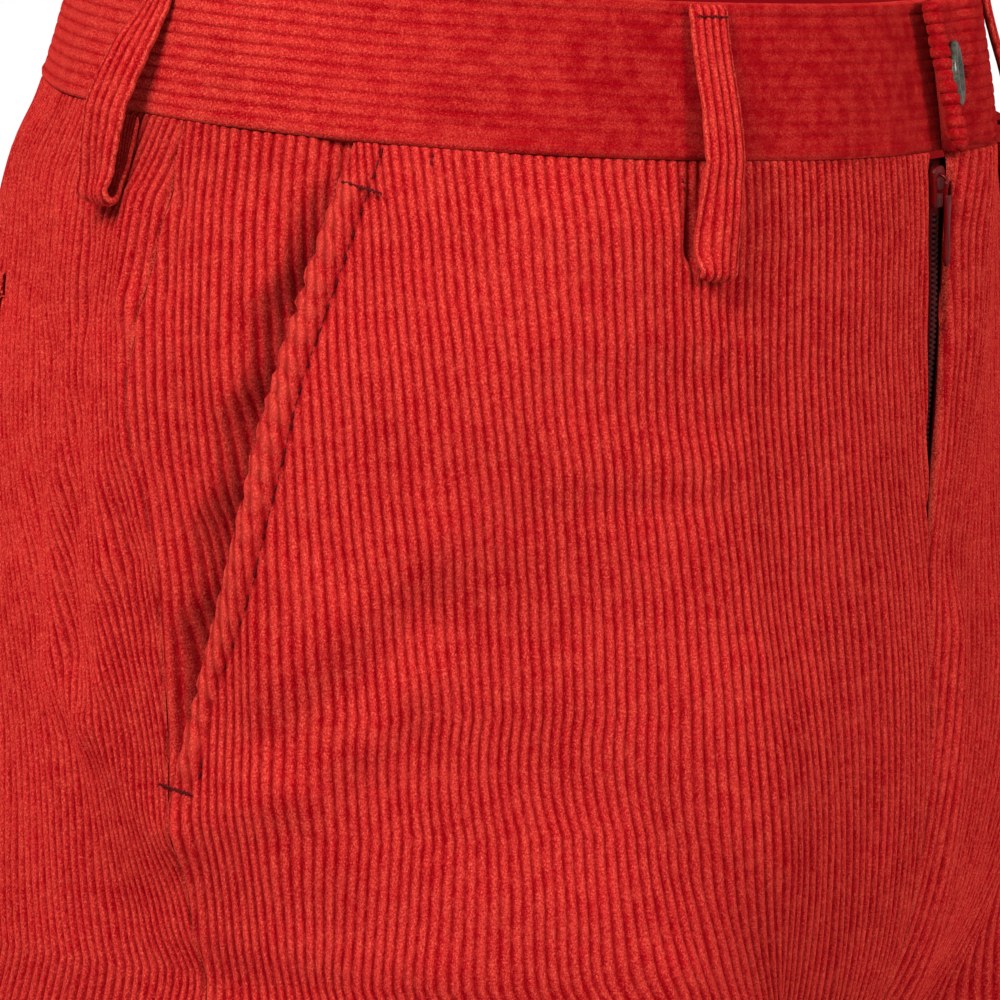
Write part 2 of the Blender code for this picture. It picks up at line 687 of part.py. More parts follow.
def main():
    for item in list(bpy.data.objects):
        bpy.data.objects.remove(item)
    for name in ("corduroy trousers", "cutters"):
        bpy.context.scene.collection.children.link(bpy.data.collections.new(name))
    cord = make_material("red corduroy", (0.46, 0.016, 0.020), 0.85)
    make_body(cord)
    make_waistband(cord)
    make_loops(cord)
    make_welts(cord)
    tape = make_material("zip tape", (0.10, 0.006, 0.008), 0.9)
    chain_paint = make_material("zip teeth", (0.10, 0.012, 0.014), 0.4, 0.6)
    enamel = make_material("red enamel", (0.35, 0.015, 0.015), 0.3, 0.5)
    make_zip(tape, chain_paint, enamel)
    horn = make_material("horn button", (0.14, 0.12, 0.09), 0.25)
    thread = make_material("button thread", (0.30, 0.015, 0.018), 0.8)
    make_button(horn, thread)


main()
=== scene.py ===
"""The visual model of the corduroy trousers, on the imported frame.

+Z is up, the front faces -Y, and the wearer's left is +X. The origin is the centre of the waist
seam. Every cut piece lies on one base surface, where a place is named by
    side    -1 for the wearer's right, +1 for the left,
    turn    0 at the centre front (the inseam's front, in the leg), 1 at the centre back,
    drop    how far below the waist seam it is,
    lift    how far outside the base surface it is.
"""

import math
from collections import namedtuple

import bmesh
import bpy
import numpy as np
from mathutils import Matrix, Vector
from mathutils.kdtree import KDTree


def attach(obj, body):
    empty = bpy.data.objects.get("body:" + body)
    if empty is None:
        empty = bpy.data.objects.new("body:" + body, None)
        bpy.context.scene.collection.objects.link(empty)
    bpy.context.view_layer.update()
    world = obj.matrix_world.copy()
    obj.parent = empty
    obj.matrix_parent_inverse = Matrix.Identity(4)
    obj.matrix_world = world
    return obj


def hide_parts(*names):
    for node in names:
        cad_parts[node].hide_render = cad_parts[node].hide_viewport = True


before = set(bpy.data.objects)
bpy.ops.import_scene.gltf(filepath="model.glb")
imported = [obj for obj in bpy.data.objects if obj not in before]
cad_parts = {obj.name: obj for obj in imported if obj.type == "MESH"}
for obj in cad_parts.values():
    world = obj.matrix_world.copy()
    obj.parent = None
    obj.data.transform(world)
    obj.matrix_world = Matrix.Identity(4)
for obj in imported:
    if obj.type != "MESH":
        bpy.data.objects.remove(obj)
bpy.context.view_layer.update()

SIDES = ((-1, "right"), (1, "left"))

# Driving sizes, in metres, as in the solids
CLOTH = 0.0016
BAND = 0.0030
BAND_HEIGHT = 0.038
BAND_PROUD = 0.0008
BAND_BOTTOM = -0.00008  # the band's lower edge is just above the waist seam
SEAM_GAP = 0.0003
LENGTH = 1.000
CROTCH_DROP = 0.266
RISE_START = 0.140
FRONT_RISE_POWER = 3.6
BACK_RISE_POWER = 2.3
RISE_SPREAD = 3.2
INNER_REACH = 0.27
WAIST_TILT = 0.086
TILT_END = 0.200
HALF_ROUND = 0.470
TURN_GAP = 0.00004 / HALF_ROUND
TURN_LAP = 0.00003 / HALF_ROUND  # how far each side reaches over a centre seam

# The corduroy: one wale is a rounded ridge of pile and a narrow groove
WALE = 0.00289
WALE_TOP = 0.00020
WALE_DEPTH = 0.00084
WALE_STEPS = (0.0, 0.16, 0.37, 0.63, 0.84)  # where a wale's columns lie, as shares of its width
WALE_SHAPE = (0.0, 0.58, 1.0, 1.0, 0.58)
PLAIN_STEPS = (0.0, 0.22, 0.50, 0.78)
PLAIN_SHAPE = (0.0, 0.78, 1.0, 0.78)
EDGE_RADIUS = 0.0013
EDGE_STRIP = 0.0007
MILLIMETRES = 1000  # in a metre: wale_place holds a wale's number and two such lengths
SAME_PLACE = 1e-9  # columns nearer than this to each other are one
CALM_EDGE = 0.006  # nearer than this to an edge, the wales wander less
LINED = -5.0  # marks the cloth's back where it looks plain, in wale_place
UNLINED = 3.0  # and where its back looks like its face
STITCH_PULL = 0.0006  # how deep a line of stitches pulls the cloth in
FINE_BACK = 44  # columns on the back of a cut whose face has all its wales' columns
PLAIN_BACK = 14
HEM_EXTRA = 0.0011  # how much thicker the turned-up hem is
HEM_FOLD = (LENGTH - 0.040, LENGTH - 0.037)  # the drops between which it becomes so
BAND_RELIEF = 0.38
BAND_STEPS = (0.0, 0.11, 0.30, 0.70, 0.89)
BAND_SHAPE = (0.0, 0.75, 1.0, 1.0, 0.75)

Trunk = namedtuple("Trunk", "drop width front back")
TRUNK = (
    Trunk(-0.038, 0.150, 0.1145, 0.090),
    Trunk(0.000, 0.158, 0.1190, 0.104),
    Trunk(0.025, 0.163, 0.1190, 0.113),
    Trunk(0.055, 0.167, 0.1195, 0.121),
    Trunk(0.100, 0.170, 0.1205, 0.129),
    Trunk(0.150, 0.172, 0.1220, 0.135),
    Trunk(0.200, 0.174, 0.1210, 0.139),
    Trunk(0.260, 0.176, 0.1190, 0.140),
)
Leg = namedtuple("Leg", "drop inner outer front back")
LEG = (
    Leg(0.140, -0.0001, 0.172, 0.119, 0.128),
    Leg(0.240, -0.0002, 0.175, 0.116, 0.120),
    Leg(0.266, -0.0002, 0.176, 0.114, 0.117),
    Leg(0.310, 0.0060, 0.173, 0.109, 0.112),
    Leg(0.410, 0.0110, 0.169, 0.098, 0.102),
    Leg(0.560, 0.0190, 0.165, 0.081, 0.088),
    Leg(0.780, 0.0270, 0.162, 0.070, 0.080),
    Leg(1.000, 0.0330, 0.160, 0.063, 0.076),
)
Line = namedtuple("Line", "drop turn")
SIDE_SEAM = (
    Line(-0.038, 0.522),
    Line(0.000, 0.5275),
    Line(0.030, 0.5355),
    Line(0.066, 0.5455),
    Line(0.100, 0.5275),
    Line(0.150, 0.5095),
    Line(0.200, 0.4925),
    Line(0.260, 0.477),
    Line(0.400, 0.470),
    Line(0.560, 0.474),
    Line(1.000, 0.480),
)
POCKET_EDGE = (
    Line(0.000, 0.403),
    Line(0.023, 0.4206),
    Line(0.058, 0.4456),
    Line(0.080, 0.4594),
    Line(0.110, 0.4756),
    Line(0.145, 0.4960),
    Line(0.170, 0.5080),
)
TOPSTITCH = (
    Line(0.000, 0.3839),
    Line(0.020, 0.3978),
    Line(0.041, 0.4133),
    Line(0.059, 0.4272),
    Line(0.076, 0.4367),
    Line(0.094, 0.4478),
    Line(0.111, 0.4572),
    Line(0.123, 0.4661),
    Line(0.136, 0.4778),
    Line(0.158, 0.4860),
)
POCKET_BOTTOM = 0.163
FACING_UNDER = 0.022
FACING_SINK = 0.0027

# Soft ridges (height > 0) and troughs (height < 0) between two places: first those of the solids
Fold = namedtuple("Fold", "turn drop end_turn end_drop width height")
RIGHT_FOLDS = (
    Fold(0.270, 0.015, 0.165, 0.150, 0.030, 0.0050),
    Fold(0.165, 0.150, 0.205, 0.400, 0.030, 0.0042),
    Fold(0.205, 0.400, 0.240, 0.900, 0.028, 0.0030),
    Fold(0.345, 0.055, 0.350, 0.062, 0.032, 0.0035),
    Fold(0.350, 0.095, 0.436, 0.127, 0.013, 0.0024),
    Fold(0.365, 0.130, 0.500, 0.163, 0.013, 0.0024),
    Fold(0.350, 0.115, 0.440, 0.145, 0.010, -0.0016),
    Fold(0.285, 0.108, 0.290, 0.114, 0.018, -0.0014),
    Fold(0.308, 0.160, 0.312, 0.170, 0.020, -0.0024),
    Fold(0.500, 0.193, 0.310, 0.206, 0.014, -0.0030),
    Fold(0.300, 0.186, 0.230, 0.190, 0.016, 0.0018),
    Fold(0.530, 0.055, 0.535, 0.064, 0.022, 0.0020),
    Fold(0.680, 0.045, 0.650, 0.060, 0.020, -0.0030),
    Fold(0.570, 0.105, 0.555, 0.142, 0.012, 0.0018),
    Fold(0.900, 0.275, 0.650, 0.235, 0.020, -0.0045),
    Fold(0.860, 0.300, 0.640, 0.275, 0.018, 0.0030),
    Fold(0.080, 0.300, 0.220, 0.275, 0.020, -0.0035),
    Fold(0.850, 0.540, 0.600, 0.565, 0.024, -0.0060),
    Fold(0.900, 0.500, 0.640, 0.520, 0.022, 0.0035),
    Fold(0.880, 0.595, 0.620, 0.610, 0.024, 0.0040),
    Fold(0.100, 0.620, 0.300, 0.600, 0.026, -0.0030),
    Fold(0.150, 0.930, 0.420, 0.950, 0.022, -0.0035),
    Fold(0.600, 0.900, 0.880, 0.925, 0.024, -0.0035),
)
LEFT_FOLDS = (
    Fold(0.250, 0.020, 0.175, 0.150, 0.030, 0.0045),
    Fold(0.175, 0.150, 0.215, 0.400, 0.030, 0.0055),
    Fold(0.215, 0.400, 0.235, 0.900, 0.028, 0.0030),
    Fold(0.335, 0.060, 0.345, 0.070, 0.032, 0.0035),
    Fold(0.340, 0.102, 0.445, 0.128, 0.014, 0.0024),
    Fold(0.350, 0.138, 0.490, 0.168, 0.014, 0.0022),
    Fold(0.340, 0.120, 0.430, 0.147, 0.011, -0.0016),
    Fold(0.295, 0.112, 0.300, 0.122, 0.020, -0.0022),
    Fold(0.480, 0.200, 0.300, 0.215, 0.015, -0.0028),
    Fold(0.540, 0.050, 0.545, 0.062, 0.022, 0.0020),
    Fold(0.670, 0.050, 0.645, 0.066, 0.020, -0.0028),
    Fold(0.890, 0.268, 0.660, 0.240, 0.020, -0.0042),
    Fold(0.850, 0.295, 0.650, 0.282, 0.018, 0.0030),
    Fold(0.090, 0.292, 0.230, 0.270, 0.020, -0.0035),
    Fold(0.840, 0.552, 0.610, 0.572, 0.024, -0.0058),
    Fold(0.890, 0.508, 0.650, 0.530, 0.022, 0.0035),
    Fold(0.870, 0.604, 0.630, 0.620, 0.024, 0.0038),
    Fold(0.110, 0.608, 0.310, 0.594, 0.026, -0.0030),
    Fold(0.160, 0.940, 0.400, 0.952, 0.022, -0.0035),
    Fold(0.610, 0.912, 0.860, 0.930, 0.024, -0.0032),
)

# Creases that only the cloth's surface has
RIGHT_CREASES = (
    Fold(0.348, 0.0985, 0.395, 0.1170, 0.0090, 0.0010),
    Fold(0.395, 0.1170, 0.444, 0.1370, 0.0080, 0.0012),
    Fold(0.362, 0.1320, 0.385, 0.1460, 0.0070, 0.0011),
    Fold(0.385, 0.1460, 0.430, 0.1580, 0.0065, 0.0013),
    Fold(0.432, 0.1600, 0.496, 0.1695, 0.0065, 0.0017),
    Fold(0.400, 0.1350, 0.452, 0.1490, 0.0065, -0.0009),
    Fold(0.343, 0.0740, 0.340, 0.0840, 0.0150, 0.0016),
    Fold(0.500, 0.1950, 0.385, 0.2030, 0.0070, 0.0014),
    Fold(0.385, 0.2030, 0.250, 0.2060, 0.0080, 0.0014),
    Fold(0.500, 0.2060, 0.330, 0.2165, 0.0080, -0.0030),
    Fold(0.168, 0.0500, 0.165, 0.1250, 0.0100, 0.0011),
    Fold(0.140, 0.1680, 0.140, 0.2400, 0.0180, 0.0028),
    Fold(0.145, 0.0600, 0.142, 0.1400, 0.0080, -0.0008),
    Fold(0.735, 0.012, 0.765, 0.040, 0.026, 0.0030),
    Fold(0.170, 0.030, 0.171, 0.120, 0.004, -0.0005),
    Fold(0.126, 0.110, 0.128, 0.215, 0.006, -0.0008),
    Fold(0.180, 0.0430, 0.290, 0.0460, 0.0055, 0.0006),
    Fold(0.180, 0.0540, 0.285, 0.0560, 0.0050, -0.0004),
    Fold(0.170, 0.0640, 0.280, 0.0630, 0.0055, -0.0006),
    Fold(0.175, 0.0760, 0.270, 0.0780, 0.0050, 0.0006),
    Fold(0.180, 0.0860, 0.290, 0.0880, 0.0050, -0.0006),
    Fold(0.565, 0.0200, 0.554, 0.0450, 0.0050, 0.0016),
    Fold(0.554, 0.0450, 0.547, 0.0800, 0.0055, 0.0014),
    Fold(0.600, 0.0340, 0.603, 0.0500, 0.0055, -0.0016),
    Fold(0.603, 0.0500, 0.590, 0.0680, 0.0055, -0.0016),
    Fold(0.567, 0.0860, 0.557, 0.1100, 0.0042, 0.0017),
    Fold(0.557, 0.1100, 0.555, 0.1360, 0.0042, 0.0017),
    Fold(0.551, 0.0960, 0.540, 0.1060, 0.0042, -0.0013),
    Fold(0.540, 0.1060, 0.526, 0.1220, 0.0042, -0.0013),
    Fold(0.597, 0.0760, 0.586, 0.1300, 0.0055, -0.0022),
    Fold(0.612, 0.0900, 0.600, 0.1300, 0.0050, 0.0015),
    Fold(0.640, 0.0600, 0.628, 0.1250, 0.0060, -0.0014),
    Fold(0.602, 0.1360, 0.565, 0.1470, 0.0060, 0.0020),
    Fold(0.565, 0.1470, 0.505, 0.1720, 0.0055, 0.0020),
    Fold(0.590, 0.1520, 0.530, 0.1900, 0.0060, -0.0014),
    Fold(0.549, 0.0020, 0.5235, 0.0190, 0.0035, -0.0013),
    Fold(0.5235, 0.0190, 0.5235, 0.0400, 0.0035, -0.0012),
    Fold(0.574, 0.0020, 0.579, 0.0200, 0.0050, -0.0026),
    Fold(0.1950, 0.0030, 0.1960, 0.0220, 0.0030, -0.0036),
)
LEFT_CREASES = (
    Fold(0.168, 0.035, 0.173, 0.205, 0.005, -0.0007),
    Fold(0.150, 0.050, 0.148, 0.200, 0.006, 0.0007),
    Fold(0.185, 0.050, 0.280, 0.054, 0.006, 0.0006),
    Fold(0.175, 0.070, 0.275, 0.071, 0.006, -0.0007),
    Fold(0.565, 0.110, 0.556, 0.145, 0.005, 0.0009),
    Fold(0.600, 0.115, 0.618, 0.134, 0.007, -0.0008),
    Fold(0.590, 0.155, 0.535, 0.192, 0.006, -0.0009),
)

Fly = namedtuple("Fly", "drop edge lift")
FLY_RELAX = 0.050
FLY_ROLL = (
    Fly(0.000, 0.0098, 0.0046),
    Fly(0.013, 0.0096, 0.0045),
    Fly(0.030, 0.0088, 0.0039),
    Fly(0.047, 0.0074, 0.0032),
    Fly(0.063, 0.0057, 0.0024),
    Fly(0.080, 0.0036, 0.0015),
    Fly(0.096, 0.0018, 0.0007),
    Fly(0.108, 0.0006, 0.0002),
    Fly(0.118, -0.00007, 0.0000),
)

Tab = namedtuple("Tab", "arc lift")
TAB = (
    Tab(-0.0060, 0.0050),
    Tab(-0.0025, 0.0066),
    Tab(0.0010, 0.0040),
    Tab(0.0040, 0.0030),
    Tab(0.0180, 0.0030),
    Tab(0.0240, 0.0044),
    Tab(0.0340, 0.0048),
    Tab(0.0480, 0.0030),
    Tab(0.0660, 0.0008),
)
UNDERLAP = 0.024
UNDERLAP_SINK = 0.0020

Loop = namedtuple("Loop", "name side top_turn bottom_turn bottom stand_off peak bend twist")
LOOPS = (
    Loop("belt_loop_front_right", -1, 0.1860, 0.1848, 0.0285, 0.0042, 0.62, 0.0012, 0.0),
    Loop("belt_loop_front_left", 1, 0.1850, 0.184, 0.0280, 0.0038, 0.66, 0.0013, 0.0),
    Loop("belt_loop_side_right", -1, 0.5520, 0.5765, 0.0222, 0.0074, 0.76, 0.0028, 0.34),
    Loop("belt_loop_side_left", 1, 0.556, 0.576, 0.0235, 0.0066, 0.78, 0.0026, 0.26),
    Loop("belt_loop_back", 1, 1.000, 1.000, 0.0262, 0.0056, 0.70, 0.0016, 0.0),
)
LOOP_WIDTH = 0.0112
LOOP_THICK = 0.0016
LOOP_WALE = 0.00235
LOOP_TOP = -0.0370

# Lines that single wales follow: the turn of each at GUIDE_DROPS, and its place across the cloth
Guide = namedtuple("Guide", "place turns")
GUIDE_DROPS = (0.000, 0.020, 0.050, 0.080, 0.110, 0.140, 0.170, 0.205)
FRONT_GUIDES = (
    Guide(0.0624, (0.0685, 0.0620, 0.0624, 0.0567, 0.0464, 0.0404, 0.0280, 0.0150)),
    Guide(0.1098, (0.1140, 0.1094, 0.1098, 0.1042, 0.1021, 0.1000, 0.0740, 0.0450)),
    Guide(0.1726, (0.1735, 0.1711, 0.1726, 0.1670, 0.1640, 0.1630, 0.1560, 0.1440)),
    Guide(0.2245, (0.2290, 0.2267, 0.2245, 0.2215, 0.2149, 0.2112, 0.2160, 0.2390)),
    Guide(0.2746, (0.2850, 0.2808, 0.2746, 0.2666, 0.2589, 0.2569, 0.2659, 0.2995)),
    Guide(0.3214, (0.3380, 0.3304, 0.3214, 0.3116, 0.3034, 0.3011, 0.3116, 0.3440)),
    Guide(0.3658, (0.3840, 0.3742, 0.3658, 0.3581, 0.3498, 0.3436, 0.3555, 0.3880)),
    Guide(0.4163, (0.4250, 0.4210, 0.4163, 0.4086, 0.3998, 0.3944, 0.4023, 0.4260)),
    Guide(0.4640, (0.4700, 0.4680, 0.4640, 0.4600, 0.4560, 0.4520, 0.4525, 0.4550)),
    Guide(0.5080, (0.5150, 0.5120, 0.5080, 0.5000, 0.4930, 0.4890, 0.4860, 0.4830)),
)
FACING_GUIDES = (
    Guide(0.4897, (0.4940, 0.4930, 0.4886, 0.4775, 0.4700, 0.4620, 0.4540, 0.4440)),
    Guide(0.5167, (0.5240, 0.5236, 0.5140, 0.5050, 0.4900, 0.4830, 0.4760, 0.4660)),
)
BACK_GUIDES = (
    Guide(0.5550, (0.5330, 0.5540, 0.5527, 0.5440, 0.5225, 0.5040, 0.4900, 0.4740)),
    Guide(0.5900, (0.5680, 0.5890, 0.5896, 0.5762, 0.5499, 0.5276, 0.5074, 0.4880)),
    Guide(0.6540, (0.6400, 0.6620, 0.6650, 0.6400, 0.6000, 0.5710, 0.5490, 0.5230)),
    Guide(0.7200, (0.7180, 0.7380, 0.7330, 0.7060, 0.6640, 0.6340, 0.6020, 0.5690)),
)
LEG_START = 0.30
FRONT_CREASE = 0.25
BACK_CREASE = 0.75


def smooth(value, low, high):
    """0 below low, 1 above high, and a smooth step between them."""
    share = np.clip((value - low) / (high - low), 0, 1)
    return share * share * (3 - 2 * share)


def unit(vectors):
    """Vectors of length 1 in the same directions."""
    return vectors / np.linalg.norm(vectors, axis=-1, keepdims=True)


def running(steps):
    """The running sum of the steps, from 0."""
    return np.concatenate(([0.0], np.cumsum(steps)))


def read(table, name, at, key="drop"):
    """Reads one column of a table at any place, along a smooth curve through its rows."""
    places = np.array([getattr(row, key) for row in table])
    values = np.array([getattr(row, name) for row in table])
    slopes = np.gradient(values, places)
    at = np.clip(at, places[0], places[-1])
    low = np.clip(np.searchsorted(places, at) - 1, 0, len(places) - 2)
    span = places[low + 1] - places[low]
    share = (at - places[low]) / span
    rise = values[low + 1] - values[low]
    start, end = slopes[low] * span, slopes[low + 1] * span
    bend = start * share * (1 - share) ** 2 - end * share**2 * (1 - share)
    return values[low] + rise * share * share * (3 - 2 * share) + bend


def trunk_point(side, turn, drop):
    angle = np.pi * turn
    front_share = (1 + np.cos(angle)) / 2
    depth = read(TRUNK, "front", drop) * front_share + read(TRUNK, "back", drop) * (1 - front_share)
    x = side * read(TRUNK, "width", drop) * np.sin(angle)
    y = -np.cos(angle) * depth
    z = -drop + WAIST_TILT * y * (1 - smooth(drop, 0, TILT_END))
    return np.stack(np.broadcast_arrays(x, y, z), axis=-1)


def leg_point(side, turn, drop):
    angle = np.pi - 2 * np.pi * turn
    inner, outer = read(LEG, "inner", drop), read(LEG, "outer", drop)
    depth = np.where(turn < 0.5, read(LEG, "front", drop), read(LEG, "back", drop))
    x = side * ((inner + outer) / 2 + (outer - inner) / 2 * np.cos(angle))
    y = -depth * np.sin(angle)
    return np.stack(np.broadcast_arrays(x, y, -drop), axis=-1)


def base_point(side, turn, drop):
    """The trunk passes into the leg: early along the outside, and along a J at the rise."""
    inner = 1 - smooth(turn, 0, INNER_REACH) + smooth(turn, 1 - INNER_REACH, 1)
    rise = CROTCH_DROP - RISE_START
    share = np.clip((drop - RISE_START) / rise, 0, 1)
    ahead = 1 - (1 - share) ** RISE_SPREAD
    power = np.where(turn < 0.5, FRONT_RISE_POWER, BACK_RISE_POWER)
    rise_blend = 1 - (1 - ahead**power) ** (1 / power)
    local_drop = drop + inner * rise * (ahead - share)
    blend = ((1 - inner) * smooth(share, 0, 1) + inner * rise_blend)[..., None]
    return (1 - blend) * trunk_point(side, turn, local_drop) + blend * leg_point(side, turn, local_drop)


def fold_height(side, turn, drop):
    """The sum of the folds at each place: every fold is a soft ridge along a short line."""
    height = np.zeros(np.broadcast(turn, drop).shape)
    for fold in RIGHT_FOLDS + RIGHT_CREASES if side < 0 else LEFT_FOLDS + LEFT_CREASES:
        along = (fold.end_turn - fold.turn) * HALF_ROUND
        down = fold.end_drop - fold.drop
        across, below = (turn - fold.turn) * HALF_ROUND, drop - fold.drop
        share = np.clip((across * along + below * down) / (along**2 + down**2), 0, 1)
        distance = np.hypot(across - share * along, below - share * down)
        height = height + fold.height * np.exp(-((distance / fold.width) ** 2))
    return height * smooth(drop, 0, 0.02) * smooth(turn, 0, 0.07) * smooth(1 - turn, 0, 0.07)


def outward(side, turn, drop):
    """The base surface's outward direction."""
    step = 0.001
    across = base_point(side, turn + step, drop) - base_point(side, turn - step, drop)
    down = base_point(side, turn, drop + step) - base_point(side, turn, drop - step)
    return unit(np.cross(across, down) * -side)


def surface_point(side, turn, drop, lift):
    turn, drop, lift = np.broadcast_arrays(turn, drop, lift)
    height = lift + fold_height(side, turn, drop)
    return base_point(side, turn, drop) + outward(side, turn, drop) * height[..., None]


def side_seam(drops):
    return read(SIDE_SEAM, "turn", drops)


def front_edge(drops):
    """The slanted pocket mouth above, the side seam below it."""
    mouth = read(POCKET_EDGE, "turn", drops)
    return np.where(drops < POCKET_BOTTOM, np.minimum(mouth, side_seam(drops)), side_seam(drops)) - TURN_GAP


# The folded pocket mouth puckers between its stitches
PUCKER = 0.0068  # from one pucker to the next
PUCKER_OUT = 0.0009  # how far a pucker's top is beyond the edge's line
PUCKER_DEEP = 0.0023  # how far the edge is drawn in between two
PUCKER_PUFF = 0.0013
STRIP_END = (0.0045, 0.0085)  # how far inside the edge they fade away


def pucker_phase(inside, down):
    """The puckers between the stitches lean back from the folded edge, and are not all alike."""
    return (down + 0.0007 * np.sin(310 * down) - 0.55 * inside) / PUCKER + 0.12 * np.sin(95 * down + 1.0)


def pucker_lobe(inside, down):
    return np.abs(np.sin(np.pi * pucker_phase(inside, down))) ** 0.7


def mouth_part(down):
    return smooth(down, 0.004, 0.012) * (1 - smooth(down, 0.152, 0.159))


def round_off(distance, radius=EDGE_RADIUS):
    """How far a rounded edge has fallen at this distance from it."""
    inside = np.clip(radius - distance, 0, radius)
    return radius - np.sqrt(np.maximum(radius**2 - inside**2, 0))


def drift_noise(u, v):
    """Slow waves that keep the wales from being ruled lines."""
    wave = np.sin(61 * v + 37 * u + 0.7) + 0.7 * np.sin(143 * v - 71 * u + 2.1)
    return 0.00016 * (wave + 0.4 * np.sin(331 * v + 173 * u))


def relief(u, v, steps, shape, pitch=WALE):
    """The height of the wales at u, a little uneven from wale to wale and along each."""
    share = np.mod(u / pitch, 1.0)
    profile = np.interp(share, steps + (1.0,), shape + (shape[0],))
    wale = np.floor(u / pitch)
    uneven = 1 + 0.10 * np.sin(1.7 * wale + 90 * v) + 0.07 * np.sin(4.1 * wale - 210 * v)
    return WALE_TOP + WALE_DEPTH * (profile * uneven - 1)


def pile_height(turns):
    """How tall the wales stand: less where the thigh has crushed them, more at the fly and the back."""
    return np.interp(turns, (0.0, 0.10, 0.20, 0.42, 0.52, 1.0), (1.35, 1.30, 0.86, 0.86, 1.35, 1.35))


def at_rise(turns, drops):
    """1 along the centre seams above the crotch, where the cloth of both sides meets."""
    near = 1 - smooth(np.minimum(turns, 1 - turns) * HALF_ROUND, 0.0008, 0.0030)
    return near * smooth(drops, 0.135, 0.165) * (1 - smooth(drops, 0.264, 0.272))


def columns_of(start, end, steps, pitch=WALE):
    """The places of all the wales' columns between the edges."""
    first, last = math.floor(np.min(start) / pitch), math.ceil(np.max(end) / pitch)
    return np.array([(wale + step) * pitch for wale in range(first, last + 1) for step in steps])


def from_edge(across, start, end):
    """How far each place across the cloth is from the nearer edge of its row."""
    return np.minimum(across - start[:, None], end[:, None] - across)


def quads_of(index):
    """The quads of a grid of vertex numbers."""
    corners = (index[:-1, :-1], index[:-1, 1:], index[1:, 1:], index[1:, :-1])
    return np.stack([corner.ravel() for corner in corners], axis=1)


def zip_chains(first, second, first_at, second_at):
    """Triangles between two chains of vertices that run side by side."""
    faces = []
    i = j = 0
    while i < len(first) - 1 or j < len(second) - 1:
        ahead = j == len(second) - 1 or (i < len(first) - 1 and first_at[i + 1] <= second_at[j + 1])
        if ahead:
            faces.append((first[i], first[i + 1], second[j]))
            i += 1
        else:
            faces.append((first[i], second[j + 1], second[j]))
            j += 1
    return faces


def add_object(name, data):
    """A new object of the scene: a mesh, a lamp or a camera."""
    item = bpy.data.objects.new(name, data)
    bpy.context.scene.collection.objects.link(item)
    return item


def add_shape(name, shape):
    """Turns a bmesh into a smoothly shaded object."""
    mesh = bpy.data.meshes.new(name)
    shape.to_mesh(mesh)
    shape.free()
    mesh.shade_smooth()
    return add_object(name, mesh)


def add_piece(name, vertices, faces):
    """A closed mesh whose normals point outwards."""
    mesh = bpy.data.meshes.new(name)
    mesh.from_pydata(np.asarray(vertices).tolist(), [], faces)
    shape = bmesh.new()
    shape.from_mesh(mesh)
    bmesh.ops.recalc_face_normals(shape, faces=shape.faces)
    shape.to_mesh(mesh)
    shape.free()
    mesh.shade_smooth()
    return add_object(name, mesh)


def mark(mesh, name, kind, values):
    """Gives each vertex a value, which the materials read."""
    field = "vector" if kind == "FLOAT_VECTOR" else "value"
    attribute = mesh.attributes.new(name, kind, "POINT")
    attribute.data.foreach_set(field, np.asarray(values, np.float32).ravel())


def corduroy(name, columns, start, end, rows, point, inner_columns, crease=None, pitch=WALE, lined=True):
    """A closed shell of cloth whose wales run along its rows' direction.

    columns are the places of the wales' columns across the cloth, start and end its edges in each
    row, and point(across, is_back) gives the places of its face or its back.
    """
    low, high = (start + EDGE_STRIP)[:, None], (end - EDGE_STRIP)[:, None]
    across = np.clip(columns[None, :], low, high)
    across = np.concatenate((start[:, None], across, end[:, None]), axis=1)
    shares = np.linspace(0, 1, inner_columns)[None, :]
    inner_across = start[:, None] + (end - start)[:, None] * shares

    # Columns past an edge fall together on it: each such group is one vertex
    fresh = np.ones(across.shape, bool)
    fresh[:, 1:] = np.diff(across, axis=1) > SAME_PLACE
    keep = fresh.ravel()
    number = np.cumsum(keep) - 1
    index = number.reshape(across.shape)
    inner_index = number[-1] + 1 + np.arange(inner_across.size).reshape(inner_across.shape)

    quads = quads_of(index)
    top, bottom = quads[:, 0] != quads[:, 1], quads[:, 3] != quads[:, 2]
    faces = quads[top & bottom].tolist()
    faces += quads[top & ~bottom][:, (0, 1, 2)].tolist()
    faces += quads[~top & bottom][:, (0, 2, 3)].tolist()
    faces += quads_of(inner_index)[:, ::-1].tolist()
    for rim in (0, -1):
        outer, inner = index[:, rim], inner_index[:, rim]
        faces += np.stack((outer[:-1], outer[1:], inner[1:], inner[:-1]), axis=1).tolist()
    for row in (0, -1):
        chain, places = np.unique(index[row], return_index=True)
        chains = (chain.tolist(), inner_index[row].tolist())
        faces += zip_chains(*chains, across[row][places], inner_across[row])

    face, back = point(across, False), point(inner_across, True)
    vertices = np.concatenate((face.reshape(-1, 3)[keep], back.reshape(-1, 3)))
    piece = add_piece(name, vertices, faces)

    along = np.asarray(rows)[:, None] * MILLIMETRES
    edge = from_edge(across, start, end) * MILLIMETRES
    place = np.stack(np.broadcast_arrays(across / pitch, along, edge), axis=-1).reshape(-1, 3)[keep]
    back_mark = LINED if lined else UNLINED
    back_place = np.stack(np.broadcast_arrays(inner_across / pitch, along, back_mark), axis=-1)
    mark(piece.data, "wale_place", "FLOAT_VECTOR", np.concatenate((place, back_place.reshape(-1, 3))))
    # The crease mark: the material paints shade in the stitches' dents and a highlight on the puckers' tops
    if crease is not None:
        marks = np.concatenate((crease(across).ravel()[keep], np.zeros(inner_across.size)))
        mark(piece.data, "crease", "FLOAT", marks)
    return piece


FINE_TURNS = np.linspace(-0.08, 1.08, 581)


